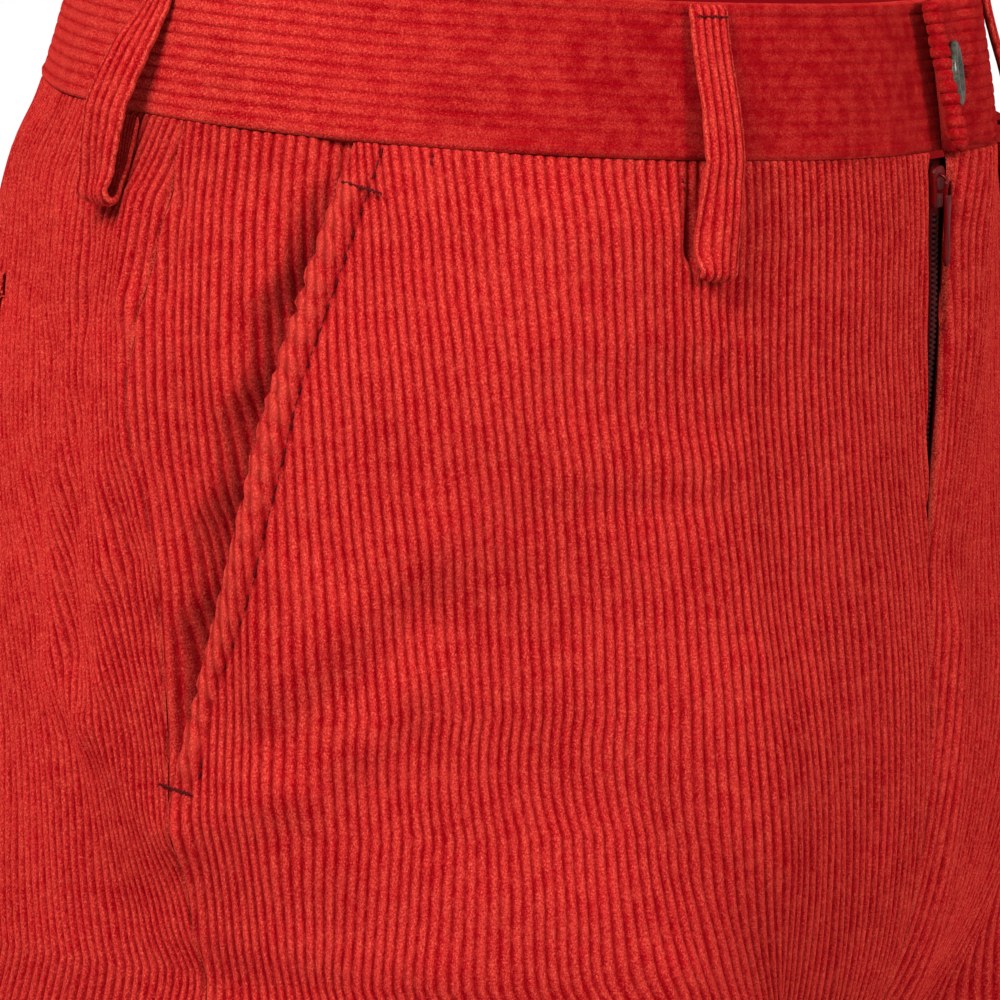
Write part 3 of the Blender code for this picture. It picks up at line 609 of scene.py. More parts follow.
def arcs_of(side, drops):
    """How far along the cloth each of the fine turns lies from turn 0, in each row."""
    points = base_point(side, FINE_TURNS[None, :], drops[:, None])
    steps = np.linalg.norm(np.diff(points, axis=1), axis=-1)
    arcs = np.concatenate((np.zeros((len(drops), 1)), np.cumsum(steps, axis=1)), axis=1)
    return arcs - across_at(arcs, np.zeros(len(drops)))[:, None]


def across_at(places, turns):
    """The place across the cloth of one turn in each row."""
    return np.array([np.interp(turn, FINE_TURNS, row) for turn, row in zip(turns, places)])


def turns_at(places, across):
    """The turn of each place across the cloth in each row."""
    return np.array([np.interp(row, place, FINE_TURNS) for row, place in zip(across, places)])


def guided(side, drops, guides):
    """Places across a cut on the trunk, where its wales follow the guides."""
    arcs = arcs_of(side, drops)
    marks = np.array([guide.place for guide in guides]) * HALF_ROUND
    places = np.empty_like(arcs)
    for row, drop in enumerate(drops):
        turns = [np.interp(drop, GUIDE_DROPS, guide.turns) for guide in guides]
        at = np.interp(turns, FINE_TURNS, arcs[row])
        at = np.concatenate(([at[0] - 1.0], at, [at[-1] + 1.0]))
        own = np.concatenate(([marks[0] - 1.0], marks, [marks[-1] + 1.0]))
        places[row] = np.interp(arcs[row], at, own)
    return places


def cut_places(side, drops, guides, crease_turn):
    """The wales follow the guides on the trunk, and run along the leg's crease below it."""
    join = np.array([GUIDE_DROPS[-1]])
    crease_place = across_at(guided(side, join, guides), [crease_turn])
    arcs = arcs_of(side, drops)
    along_leg = arcs + (crease_place - across_at(arcs, np.full(len(drops), crease_turn)))[:, None]
    leg = smooth(drops, GUIDE_DROPS[-1] - 0.010, LEG_START)[:, None]
    return guided(side, drops, guides) * (1 - leg) + along_leg * leg


def front_places(side, drops):
    return cut_places(side, drops, FRONT_GUIDES, FRONT_CREASE)


def back_places(side, drops):
    return cut_places(side, drops, BACK_GUIDES, BACK_CREASE)


def facing_places(side, drops):
    return guided(side, drops, FACING_GUIDES)


def panel(
    name, side, first, last, rows, lift, places_of, fine, dent=None, hem=False, scallop=False, curl=None
):
    """A cut piece between two lines on the base surface.

    lift is how far its face stands out, dent where stitches pull it in, and curl how its first edge
    is rolled. The last edge of a scalloped piece puckers between its stitches.
    """
    drops = np.asarray(rows)
    down = drops[:, None]
    places = places_of(side, drops)
    start, end = across_at(places, first(drops)), across_at(places, last(drops))
    steps, shape = (WALE_STEPS, WALE_SHAPE) if fine else (PLAIN_STEPS, PLAIN_SHAPE)
    if scallop:
        end = end + (PUCKER_OUT - PUCKER_DEEP * (1 - pucker_lobe(0.0, drops))) * mouth_part(drops)

    def strip_at(inside):
        """1 in the puckered strip along the last edge."""
        return mouth_part(down) * smooth(inside, 0.0, 0.002) * (1 - smooth(inside, *STRIP_END))

    def point(across, is_back):
        edge = from_edge(across, start, end)
        inside = end[:, None] - across
        strip = strip_at(inside) if scallop else 0.0
        wander = drift_noise(across, down) * np.clip(edge / CALM_EDGE, 0, 1)
        wander = wander + 0.0004 * strip * np.cos(2 * np.pi * pucker_phase(inside, down))
        drawn, fallen = curl(across - start[:, None], down) if curl is not None else (0.0, 0.0)
        turns = turns_at(places, across + (wander - drawn))
        height = lift(turns, down) - fallen
        if is_back:
            turned_up = HEM_EXTRA * smooth(down, *HEM_FOLD) if hem else 0.0
            return surface_point(side, turns, down, height - CLOTH - turned_up)
        pile = pile_height(turns) * relief(across, down, steps, shape) - round_off(edge)
        height = height + pile + 0.9 * at_rise(turns, down) * np.maximum(-pile, 0)
        height = height + PUCKER_PUFF * strip * (pucker_lobe(inside, down) - 0.45)
        height = height - round_off(down - drops[0], 0.0003)
        height = height - round_off(drops[-1] - down, EDGE_RADIUS if hem else 0.0004)
        if dent is not None:
            height = height - STITCH_PULL * dent(turns, down)
        return surface_point(side, turns, down, height)

    def crease(across):
        """1 where stitches pull the cloth in, painted shade; down to -1 on the puckers' tops, painted
        highlight.
        """
        inside = end[:, None] - across
        return dent(turns_at(places, across), down) - strip_at(inside) * pucker_lobe(inside, down)

    inner_columns = FINE_BACK if fine else PLAIN_BACK
    marks = crease if dent is not None else None
    return corduroy(name, columns_of(start, end, steps), start, end, drops, point, inner_columns, marks)


def rows_between(stops):
    """Drops from stop to stop: stops are (drop, step up to it)."""
    rows = [0.0, 0.0004, 0.0012]
    for drop, step in stops:
        count = max(1, round((drop - rows[-1]) / step))
        rows += np.linspace(rows[-1], drop, count + 1)[1:].tolist()
    return rows


HEM_ROWS = ((0.9955, 0.009), (0.9985, 0.0015), (0.9994, 0.0009), (1.0, 0.0006))
FINE_ROWS = rows_between(((0.166, 0.002), (0.250, 0.004)) + HEM_ROWS)
PLAIN_ROWS = rows_between(((0.250, 0.0035),) + HEM_ROWS)
FACING_ROWS = rows_between(((POCKET_BOTTOM, 0.002),))


def fly_edge(drops):
    return read(FLY_ROLL, "edge", drops) / HALF_ROUND + TURN_GAP


def fly_lift(turns, drops):
    """The left front's edge stands proud over the zip, and is rolled where it is folded back."""
    inside = turns * HALF_ROUND - read(FLY_ROLL, "edge", drops)
    lift = read(FLY_ROLL, "lift", drops)
    swell = 0.65 * lift * smooth(inside, 0.0, 0.011)
    proud = (lift + swell) * (1 - smooth(inside, 0.012, FLY_RELAX))
    below_zip = smooth(drops, 0.105, 0.135) * (1 - smooth(drops, 0.250, 0.300))
    bulge = 0.0042 * np.exp(-(((inside - 0.011) / 0.0065) ** 2)) * below_zip
    return proud + bulge + mouth_lift(turns, drops)


def fly_curl(inside, drops):
    """The fold along the edge: how far the cloth is drawn in, and how far it falls."""
    radius = np.maximum(0.0032 * np.clip(read(FLY_ROLL, "lift", drops) / 0.0042, 0, 1), 1e-6)
    angle = np.clip(inside / radius, 0, np.pi / 2)
    drawn = radius * (angle - 1 + np.cos(angle))
    return drawn * (1 - smooth(inside, 0.008, 0.030)), radius * (1 - np.sin(angle))


def mouth_lift(turns, drops):
    """The pocket's folded mouth is a puffed strip that rises off the stitches and rounds over."""
    inside = (front_edge(drops) - turns) * HALF_ROUND
    width = (front_edge(drops) - topstitch(drops)) * HALF_ROUND
    open_part = smooth(drops, 0.004, 0.014) * (1 - smooth(drops, 0.150, 0.160))
    puff = np.sin(np.pi * np.clip(inside / width, 0, 1)) ** 0.8
    stand = 1 - smooth(inside, 0.004, 0.011)
    return (0.0017 * puff + 0.0010 * stand - 0.20 * round_off(inside, 0.0030)) * open_part


def topstitch(drops):
    """The line of stitches along the pocket's mouth, which ends at the lower bartack."""
    return read(TOPSTITCH, "turn", drops)


def topstitch_dent(turns, drops):
    """The stitches pull the cloth in along their line."""
    away = np.abs(turns - topstitch(drops)) * HALF_ROUND * 0.94
    return np.exp(-((away / 0.0008) ** 2)) * (1 - smooth(drops, 0.156, 0.158))


def facing_lift(turns, drops):
    """The facing lies under the front's edge, deepest half way down the pocket's mouth."""
    past_edge = (turns - front_edge(drops)) * HALF_ROUND
    to_seam = (side_seam(drops) - turns) * HALF_ROUND
    valley = smooth(drops, 0.004, 0.034) * (1 - smooth(drops, 0.138, 0.163))
    sink = FACING_SINK * (1 - smooth(past_edge, 0.002, 0.016))
    reach = 0.0155 + 0.0045 * np.cos(2 * np.pi * (drops - 0.045) / 0.027)
    deeper = 0.0092 * valley * (1 - smooth(past_edge / reach, -0.3, 1.0))
    return -(sink + deeper) * np.maximum(smooth(to_seam, 0.0, 0.010), past_edge < 0)


def centre_front(drops):
    return 0 * drops - TURN_LAP


def centre_back(drops):
    return 1 + TURN_LAP + 0 * drops


def back_edge(drops):
    return side_seam(drops) + TURN_GAP


def facing_start(drops):
    return front_edge(drops) - FACING_UNDER / HALF_ROUND


def facing_end(drops):
    return side_seam(drops) - TURN_GAP


def no_lift(turns, drops):
    return 0 * turns + 0 * drops


def make_body():
    """Both fronts, both backs and the side pieces behind the slanted pockets."""
    pieces = {}
    for side, word in SIDES:
        fine = side < 0
        edge, lift, curl = (centre_front, mouth_lift, None) if fine else (fly_edge, fly_lift, fly_curl)
        pieces[f"front_{word}"] = panel(
            f"front_panel_{word}",
            side,
            edge,
            front_edge,
            FINE_ROWS if fine else PLAIN_ROWS,
            lift,
            front_places,
            fine,
            dent=topstitch_dent,
            hem=True,
            scallop=True,
            curl=curl,
        )
        back = (side, back_edge, centre_back, PLAIN_ROWS, no_lift, back_places, fine)
        pieces[f"back_{word}"] = panel(f"back_panel_{word}", *back, hem=True)
        facing = (side, facing_start, facing_end, FACING_ROWS, facing_lift, facing_places, fine)
        pieces[f"side_facing_{word}"] = panel(f"pocket_facing_{word}", *facing)
    return pieces


BUTTON_ARC = 0.0100
BUTTON_DROP = -0.0190
BUTTON_RADIUS = 0.0085
BUTTON_THICK = 0.0030
BUTTON_LIFT = 0.0036
BUTTONHOLE_LENGTH = 0.0125
BUTTONHOLE_HEIGHT = 0.0032
BUTTONHOLE_SHIFT = 0.0035
HOLE_OFFSET = 0.0017
HOLE_RADIUS = 0.00085
BUTTON_STEPS = 56
HOLE_STEPS = 20
BUTTON_SHIFT = (-0.0012, 0, -0.0006)
BUTTON_TILT = math.radians(15)
# The button's outline, as shares of its radius and thickness
BUTTON_PROFILE = (
    (0.0, 0.58),
    (0.30, 0.57),
    (0.55, 0.60),
    (0.64, 0.72),
    (0.72, 0.93),
    (0.80, 1.00),
    (0.89, 0.98),
    (0.96, 0.84),
    (1.00, 0.60),
    (0.985, 0.40),
    (0.90, 0.18),
    (0.74, 0.05),
    (0.50, 0.0),
    (0.0, 0.0),
)
BUTTONHOLE_STITCHES = 74
SHANK_TURNS = 9
SHANK_RADIUS = 0.0010
SHANK_THREAD = 0.00042
BUTTON_THREAD = 0.00026
BUTTONHOLE_THREAD = 0.00030
SHANK_TWIST = 1.1
THREAD_STEPS = (-0.0004, 0.0, 0.0004)  # three threads side by side cross between two holes
THREAD_HEIGHT = 0.60  # of the button's thickness
BINDING_LIFT = 0.0013
BINDING_WIDTH = 0.0016
BINDING_TUCK = 0.0009  # how far each stitch's inner end is tucked into the slit
BINDING_BEND = 0.35  # the lower this power, the squarer the outline of the binding

# The tab's end is a thick roll. Its middle is at (arc, lift), and it slants and lifts downwards.
ROLL_RADIUS = 0.0022
ROLL_TOP = (-0.0010, 0.0042)
ROLL_BOTTOM = (0.0048, 0.0060)
ROLL_SLANT = ROLL_BOTTOM[0] - ROLL_TOP[0]
CAP_ROWS = 15
# The tab's outer face beyond the roll, with a hollow where the button sits
TAB_FACE = (
    Tab(0.0000, 0.0030),
    Tab(0.0080, 0.0020),
    Tab(0.0150, 0.0024),
    Tab(0.0190, 0.0044),
    Tab(0.0235, 0.0056),
    Tab(0.0340, 0.0050),
    Tab(0.0480, 0.0030),
    Tab(0.0660, 0.0008),
)


def wale_profile(across):
    return np.interp(np.mod(across / WALE, 1.0), BAND_STEPS + (1.0,), BAND_SHAPE + (0.0,))


def band_share(across):
    """0 at the band's top, 1 at its bottom."""
    return np.clip((across + BAND_HEIGHT) / BAND_HEIGHT, 0, 1)


def tab_path(across, arcs, row):
    """Where the tab's outer face is: round the roll in the cap's rows, then along the face."""
    down = band_share(across)
    middle = ROLL_TOP[0] + ROLL_SLANT * down
    centre = ROLL_TOP[1] + (ROLL_BOTTOM[1] - ROLL_TOP[1]) * down**2
    wale = np.floor(across / WALE)
    lobe = 0.0007 * (wale_profile(across) - 0.6) * (1 + 0.3 * np.sin(2.3 * wale + 0.4))
    ends = round_off(np.minimum(across + BAND_HEIGHT, -SEAM_GAP - across), 0.0026)
    radius = ROLL_RADIUS + lobe - 0.8 * ends + 0.0002 * np.sin(1.9 * wale)
    angle = np.pi * (0.5 + np.minimum(row, CAP_ROWS) / CAP_ROWS)
    cap_arc, cap_lift = middle + radius * np.cos(angle), centre - radius * np.sin(angle)

    plain = band_lift_left(arcs) + 0.0004
    beside = smooth(np.abs(across - BUTTON_DROP), 0.0080, 0.0130)
    hollow = 1 - smooth(arcs, 0.0170, 0.0230)
    face = read(TAB_FACE, "lift", arcs, key="arc")
    face = face + (plain - face) * beside * hollow
    share = BAND_RELIEF + 0.2 * (1 - smooth(arcs, 0.02, 0.05))
    face = face + share * relief(across, arcs, BAND_STEPS, BAND_SHAPE) - ends
    beyond = np.clip((arcs - middle) / radius, 0, 1)
    falling = centre + radius * np.sqrt(1 - np.minimum(beyond, 0.995) ** 2)
    face = np.maximum(face, np.where(beyond < 1, falling, face))
    in_cap = row <= CAP_ROWS
    return np.where(in_cap, cap_arc, arcs), np.where(in_cap, cap_lift, face)


def band_lift_right(arcs):
    return BAND_PROUD - UNDERLAP_SINK * (1 - smooth(arcs, 0.004, 0.024))


def band_lift_left(arcs):
    return read(TAB, "lift", arcs, key="arc")


def band_waves(turns, drops):
    """The band is a little slack: low waves, a fold line near its top, and a ridge above the seam."""
    wave = 0.0005 * np.sin(31 * turns + 40 * drops) + 0.0003 * np.sin(67 * turns - 90 * drops + 1.0)
    fold = -0.0003 * np.exp(-(((drops + BAND_HEIGHT - 0.0034) / 0.0005) ** 2))
    ridge = 0.0004 * np.exp(-(((drops + 0.0022) / 0.0009) ** 2))
    return wave * smooth(turns, 0.06, 0.12) * (1 - smooth(turns, 0.97, 1.0)) + fold + ridge


def right_band(across, own, is_back):
    """The right band runs on under the tab, and its wales are flatter at the front."""
    height = band_lift_right(own)
    if is_back:
        return own, height - BAND
    flatter = BAND_RELIEF * (0.45 + 0.55 * smooth(own / HALF_ROUND, 0.20, 0.42))
    height = height + flatter * relief(across, own, BAND_STEPS, BAND_SHAPE)
    height = height - round_off(across + BAND_HEIGHT) - round_off(BAND_BOTTOM - across, 0.0006)
    return own, height - round_off(own + UNDERLAP, 0.0016)


def left_band(across, own, is_back, row):
    """The left band's wales run out to the tab's end, and turn round its roll."""
    own = own + ROLL_SLANT * band_share(across) * (1 - smooth(own, ROLL_TOP[0], 0.060))
    if not is_back:
        return tab_path(across, own, row)
    height = band_lift_left(own) - BAND
    drawn_in = 0.0030 * (1 - smooth(own, ROLL_TOP[0], 0.030))
    return own + drawn_in + 0.00004 * np.minimum(row, CAP_ROWS), height


def band_rows(side):
    """Where a band's rows are round the waist: close together at its free end."""
    back_arc = (1 - TURN_GAP) * HALF_ROUND
    if side < 0:
        near_end = 0.030
        edge = np.array((0.0, 0.0002, 0.0006, 0.0012)) - UNDERLAP
        near = np.concatenate((edge, np.linspace(-0.0220, near_end, 50)))
    else:
        near_end = 0.070
        face = ROLL_TOP[0] + (near_end - ROLL_TOP[0]) * np.linspace(0.0, 1.0, 80) ** 1.2
        near = np.concatenate((np.full(CAP_ROWS + 1, ROLL_TOP[0]), face))
    around = np.linspace(near_end, back_arc - 0.0008, 124)[1:]
    return np.concatenate((near, around, [back_arc]))


def make_band(side, word):
    """A doubled band whose wales run round the waist. The left one ends in the tab."""
    rows = band_rows(side)
    arcs, numbers = rows[:, None], np.arange(len(rows))[:, None]

    def point(across, is_back):
        if side < 0:
            own, height = right_band(across, arcs, is_back)
        else:
            own, height = left_band(across, arcs, is_back, numbers)
        height = height + band_waves(own / HALF_ROUND, across)
        return surface_point(side, own / HALF_ROUND, across, height)

    start, end = np.full(len(rows), -BAND_HEIGHT), np.full(len(rows), BAND_BOTTOM)
    run = rows[0] + running(np.maximum(np.diff(rows), 0.0006))
    columns = columns_of(start, end, BAND_STEPS)
    return corduroy(f"waistband_shell_{word}", columns, start, end, run, point, inner_columns=8)


def loop_path(loop):
    """The middle of the strip as (drop, height) places, and the direction out of its face.

    The strip runs down off the band, turns under at its lower end and goes back up to the seam.
    """
    fold = loop.bend
    low = 0.0010 + LOOP_THICK / 2
    shares = np.linspace(0, 1, 44)
    drops = LOOP_TOP + (loop.bottom - fold - LOOP_TOP) * shares
    rise = smooth(shares, 0.02, loop.peak)
    fall = smooth(shares, loop.peak + 0.04, 1.0)
    seat = low + BAND_PROUD * (1 - smooth(drops, 0.0, 0.006))
    end_height = low + 2 * fold
    heights = seat + loop.stand_off * rise
    heights = heights + (end_height - heights) * fall
    angles = np.linspace(0, np.pi, 11)[1:-1]
    turn_drops = loop.bottom - fold + fold * np.sin(angles)
    turn_heights = low + fold + fold * np.cos(angles)
    back_drops = np.linspace(loop.bottom - fold, 0.0012, 14)
    drops = np.concatenate((drops, turn_drops, back_drops))
    heights = np.concatenate((heights, turn_heights, np.full(14, low)))
    along, up = np.gradient(drops), np.gradient(heights)
    size = np.hypot(along, up)
    return drops, heights, -up / size, along / size


def make_loop(loop):
    """A strip that is sewn to the band's top, stands off the cloth in its middle and turns under."""
    half = LOOP_WIDTH / 2
    drops, heights, out_drop, out_height = (values[:, None] for values in loop_path(loop))
    run = running(np.hypot(np.diff(drops[:, 0]), np.diff(heights[:, 0])))
    share = (drops - LOOP_TOP) / (loop.bottom - LOOP_TOP)
    middle = loop.top_turn + (loop.bottom_turn - loop.top_turn) * share
    ends = np.minimum(run, run[-1] - run)[:, None]
    turned_under = np.arange(len(run))[:, None] / len(run)
    narrow = 1 - 0.38 * smooth(turned_under, 0.70, 0.84)

    def point(across, is_back):
        wales = relief(across, run[:, None], WALE_STEPS, WALE_SHAPE, LOOP_WALE)
        off = -LOOP_THICK / 2 - 0.5 * wales
        if not is_back:
            edge = np.minimum(across + half, half - across)
            off = LOOP_THICK / 2 + 0.0004 * (1 - (across / half) ** 2) - round_off(edge, 0.0009)
            off = off + 0.9 * wales - round_off(ends, 0.0010)
        turns = middle + across * narrow / HALF_ROUND
        twisted = loop.twist * (across + half) * smooth(heights, 0.0030, 0.0065)
        return surface_point(loop.side, turns, drops + out_drop * off, heights + out_height * off + twisted)

    wobble = 0.00014 * np.sin(900 * run) + 0.00010 * np.sin(2300 * run + 1.0)
    start, end = -half + wobble, half + 0.8 * wobble[::-1]
    columns = columns_of(-half, half, WALE_STEPS, LOOP_WALE)
    cloth = {"inner_columns": 17, "pitch": LOOP_WALE, "lined": False}
    return corduroy(f"{loop.name}_strip", columns, start, end, run, point, **cloth)


class Nodes:
    """A short way to build a material's node tree."""

    def __init__(self, name):
        self.material = bpy.data.materials.new(name)
        self.material.use_nodes = True
        self.tree = self.material.node_tree

    def feed(self, socket, value):
        """Sets a socket to a number, colour or vector, or links another node's output to it."""
        if isinstance(value, bpy.types.NodeSocket):
            self.tree.links.new(value, socket)
        elif socket.type == "RGBA":
            socket.default_value = (*value, 1.0)
        else:
            socket.default_value = value

    def add(self, kind, inputs=(), **settings):
        """A new node. inputs are the values of its sockets, by name or by number."""
        node = self.tree.nodes.new(kind)
        for key, value in settings.items():
            setattr(node, key, value)
        for key, value in dict(inputs).items():
            self.feed(node.inputs[key], value)
        return node.outputs

    def spot(self):
        """The place on the object, in metres."""
        return self.add("ShaderNodeTexCoord")["Object"]

    def math(self, operation, *values, clamp=False):
        return self.add("ShaderNodeMath", enumerate(values), operation=operation, use_clamp=clamp)[0]

    def times(self, *values):
        return self.math("MULTIPLY", *values)

    def step(self, value, low, high, start=0.0, end=1.0):
        """A smooth step from start at low to end at high."""
        limits = {"From Min": low, "From Max": high, "To Min": start, "To Max": end}
        inputs = {"Value": value} | limits
        return self.add("ShaderNodeMapRange", inputs, interpolation_type="SMOOTHSTEP")["Result"]

    def mix(self, share, first, second):
        return self.add("ShaderNodeMix", {0: share, 6: first, 7: second}, data_type="RGBA")[2]

    def noise(self, vector, scale, detail=2.0, roughness=0.5):
        inputs = {"Vector": vector, "Scale": scale, "Detail": detail, "Roughness": roughness}
        return self.add("ShaderNodeTexNoise", inputs)["Fac"]

    def twill(self, vector, scale, distortion):
        """Slanting waves: the twist of a thread, or the weave of a tape."""
        inputs = {"Vector": vector, "Scale": scale, "Distortion": distortion}
        return self.add("ShaderNodeTexWave", inputs, bands_direction="DIAGONAL")["Fac"]

    def bump(self, height, strength, distance, before=None):
        inputs = {"Strength": strength, "Distance": distance, "Height": height}
        if before is not None:
            inputs["Normal"] = before
        return self.add("ShaderNodeBump", inputs)["Normal"]

    def surface(self, inputs):
        """The material, once its shader's sockets have these values."""
        shader = self.tree.nodes["Principled BSDF"]
        for key, value in inputs.items():
            self.feed(shader.inputs[key], value)
        return self.material


# The cloth's tones: the deeper in the pile, the purer the red. The groove tone is also painted shade, in
# the grooves and the stitches' dents; the bright tone is in part a painted highlight on the ridges; the
# worn tone is wear at the edges and a painted highlight on the puckers' tops; the shaded tone is also
# painted shade on the band's front.
DEEP = (0.300, 0.0012, 0.0062)
MIDDLE = (0.410, 0.0080, 0.0120)
BRIGHT = (0.520, 0.0400, 0.0270)
WORN_AND_HIGHLIT = (0.700, 0.1100, 0.0640)
SHADED = (0.190, 0.0001, 0.0030)
GROOVE_SHADE = (0.180, 0.0000, 0.0024)
INSIDE = (0.240, 0.0030, 0.0070)
BAND_FRONT_SHADE = (-0.02, 0.10)  # where, along -Y, painted shade comes in on the band's front
FLOOR_BELOW = 0.004  # how far the floor is below the hems


def corduroy_material(name="red corduroy", groove_share=0.85, groove_start=0.40, front_shade=None):
    """Cut pile in wales: a painted highlight on the worn ridges, painted shade and a purer red in the
    grooves, and tufts that cross each wale.

    The last argument is where, along -Y, painted shade comes in: in front of it the cloth is painted darker
    and its grooves fainter.
    """
    m = Nodes(name)
    place = m.add("ShaderNodeAttribute", attribute_name="wale_place")["Vector"]
    across, along, edge = m.add("ShaderNodeSeparateXYZ", {0: place})
    crease = m.add("ShaderNodeAttribute", attribute_name="crease")["Fac"]
    spot = m.spot()

    wander = m.noise(spot, 420.0, 3.0, 0.6)
    shifted = m.math("ADD", across, m.times(m.math("SUBTRACT", wander, 0.5), 0.30))
    off_middle = m.math("ABSOLUTE", m.math("SUBTRACT", m.math("FRACT", shifted), 0.5))
    from_ridge = m.times(off_middle, 2.0)
    broken = m.step(m.noise(spot, 300.0, 3.0, 0.6), 0.36, 0.56, 0.55, 1.0)
    # Painted shade on the band's front: its grooves are fainter there
    if front_shade is not None:
        y = m.add("ShaderNodeSeparateXYZ", {0: spot})[1]
        toward_front = m.step(m.times(y, -1.0), *front_shade)
        broken = m.times(broken, m.step(toward_front, 0.0, 1.0, 1.0, 0.40))
    # Painted shade in the grooves and a painted highlight on the ridges, besides the deeper pile's purer
    # red
    groove = m.times(m.step(from_ridge, groove_start, 0.95), m.times(broken, groove_share))
    ridge = m.step(from_ridge, 0.10, 0.60, 1.0, 0.0)

    leaning = m.math("ADD", m.times(along, 1.35), m.times(from_ridge, 0.9))
    tufts_at = m.add("ShaderNodeCombineXYZ", {0: m.times(across, 3.4), 1: leaning})[0]
    tufts = m.noise(tufts_at, 1.0, 3.0, 0.65)
    pile = m.noise(spot, 2300.0, 3.0, 0.7)
    patches = m.noise(spot, 34.0, 3.0, 0.55)
    mottle = m.noise(spot, 190.0, 3.0, 0.6)

    tone = m.mix(m.step(patches, 0.34, 0.66), DEEP, MIDDLE)
    tone = m.mix(m.step(mottle, 0.38, 0.64, 0.0, 0.45), tone, BRIGHT)
    # Painted highlight on the ridges
    tone = m.mix(m.times(ridge, 0.42), tone, BRIGHT)
    tone = m.mix(m.step(tufts, 0.36, 0.58, 0.50, 0.0), tone, SHADED)
    tone = m.mix(m.step(pile, 0.34, 0.52, 0.62, 0.0), tone, SHADED)
    tone = m.mix(m.step(pile, 0.50, 0.68, 0.0, 0.52), tone, WORN_AND_HIGHLIT)
    # Painted shade in the grooves, in a purer red
    tone = m.mix(groove, tone, GROOVE_SHADE)
    # Painted shade in the stitches' dents
    tone = m.mix(m.math("MULTIPLY", crease, 0.55, clamp=True), tone, GROOVE_SHADE)
    at_edge = m.times(m.step(edge, 0.1, 0.8, 0.40, 0.0), m.math("GREATER_THAN", edge, -1.0))
    tone = m.mix(m.times(at_edge, m.step(pile, 0.40, 0.60)), tone, WORN_AND_HIGHLIT)
    # Painted highlight on the puckers' tops
    tone = m.mix(m.step(crease, -0.75, -0.05, 0.10, 0.0), tone, WORN_AND_HIGHLIT)
    # Painted shade on the band's front
    if front_shade is not None:
        painted_front_shade = m.times(toward_front, m.step(mottle, 0.30, 0.62, 1.0, 0.60))
        tone = m.mix(m.times(painted_front_shade, 0.88), tone, SHADED)
    tone = m.mix(m.math("LESS_THAN", edge, -1.0), tone, INSIDE)

    fuzz = m.bump(m.noise(spot, 1700.0, 4.0, 0.75), 0.85, 0.00030)
    return m.surface(
        {
            "Base Color": tone,
            "Normal": m.bump(tufts, 0.70, 0.00030, fuzz),
            "Roughness": 0.95,
            "Specular IOR Level": 0.0,
            "Sheen Weight": 0.36,
            "Sheen Roughness": 0.38,
            "Sheen Tint": (1.0, 0.060, 0.045),
        }
    )


def thread_material():
    """Dark red sewing thread, twisted from two plies."""
    m = Nodes("sewing thread")
    twist = m.twill(m.spot(), 900.0, 1.5)
    tone = m.mix(twist, (0.030, 0.0004, 0.0015), (0.100, 0.0020, 0.0045))
    return m.surface(
        {
            "Base Color": tone,
            "Normal": m.bump(twist, 0.4, 0.00008),
            "Roughness": 0.8,
            "Specular IOR Level": 0.1,
        }
    )


def wear(piece, material):
    piece.data.materials.clear()
    piece.data.materials.append(material)


def make_camera():
    """The photograph's view, a little above the waist and well to the wearer's right."""
    camera = add_object("camera", bpy.data.cameras.new("camera"))
    place = Vector((-1.6860, -0.8554, 0.1087))
    target = Vector((-0.0031, 0.0004, -0.1058))
    aim = (target - place).to_track_quat("-Z", "Y").to_matrix().to_4x4()
    roll = Matrix.Rotation(math.radians(0.7), 4, "Z")
    camera.matrix_world = Matrix.Translation(place) @ aim @ roll
    camera.data.lens = 261.7
    camera.data.sensor_width = 36.0
    bpy.context.scene.camera = camera


def make_light(name, place, target, size, power):
    lamp = bpy.data.lights.new(name, "AREA")
    lamp.shape = "DISK"
    lamp.size = size
    lamp.energy = power
    light = add_object(name, lamp)
    light.location = place
    light.rotation_euler = (Vector(target) - Vector(place)).to_track_quat("-Z", "Y").to_euler()


def make_studio():
    """A white room, a soft key from the left, a soft light from the front, and a floor below the hems."""
    world = bpy.data.worlds.new("studio")
    world.use_nodes = True
    nodes, links = world.node_tree.nodes, world.node_tree.links
    room, backdrop = nodes["Background"], nodes.new("ShaderNodeBackground")
    for background, strength in ((room, 0.48), (backdrop, 1.0)):
        background.inputs["Color"].default_value = (1.0, 1.0, 1.0, 1.0)
        background.inputs["Strength"].default_value = strength
    seen, chosen = nodes.new("ShaderNodeLightPath"), nodes.new("ShaderNodeMixShader")
    links.new(seen.outputs["Is Camera Ray"], chosen.inputs[0])
    links.new(room.outputs[0], chosen.inputs[1])
    links.new(backdrop.outputs[0], chosen.inputs[2])
    links.new(chosen.outputs[0], nodes["World Output"].inputs["Surface"])
    bpy.context.scene.world = world
    bpy.context.scene.view_settings.view_transform = "Standard"
    make_light("key", (-1.46, 0.04, 0.95), (-0.10, 0.0, -0.05), 0.7, 43.0)
    make_light("front", (-0.2, -2.3, 0.95), (0.0, 0.0, -0.15), 0.9, 48.0)

    sheet = bmesh.new()
    bmesh.ops.create_grid(sheet, x_segments=1, y_segments=1, size=2.2)
    floor = add_shape("floor", sheet)
    floor.location = (0, 0, -LENGTH - FLOOR_BELOW)
    m = Nodes("pale floor")
    tone = m.mix(m.noise(m.spot(), 40.0), (0.74, 0.73, 0.71), (0.80, 0.79, 0.77))
    wear(floor, m.surface({"Base Color": tone, "Roughness": 0.8}))


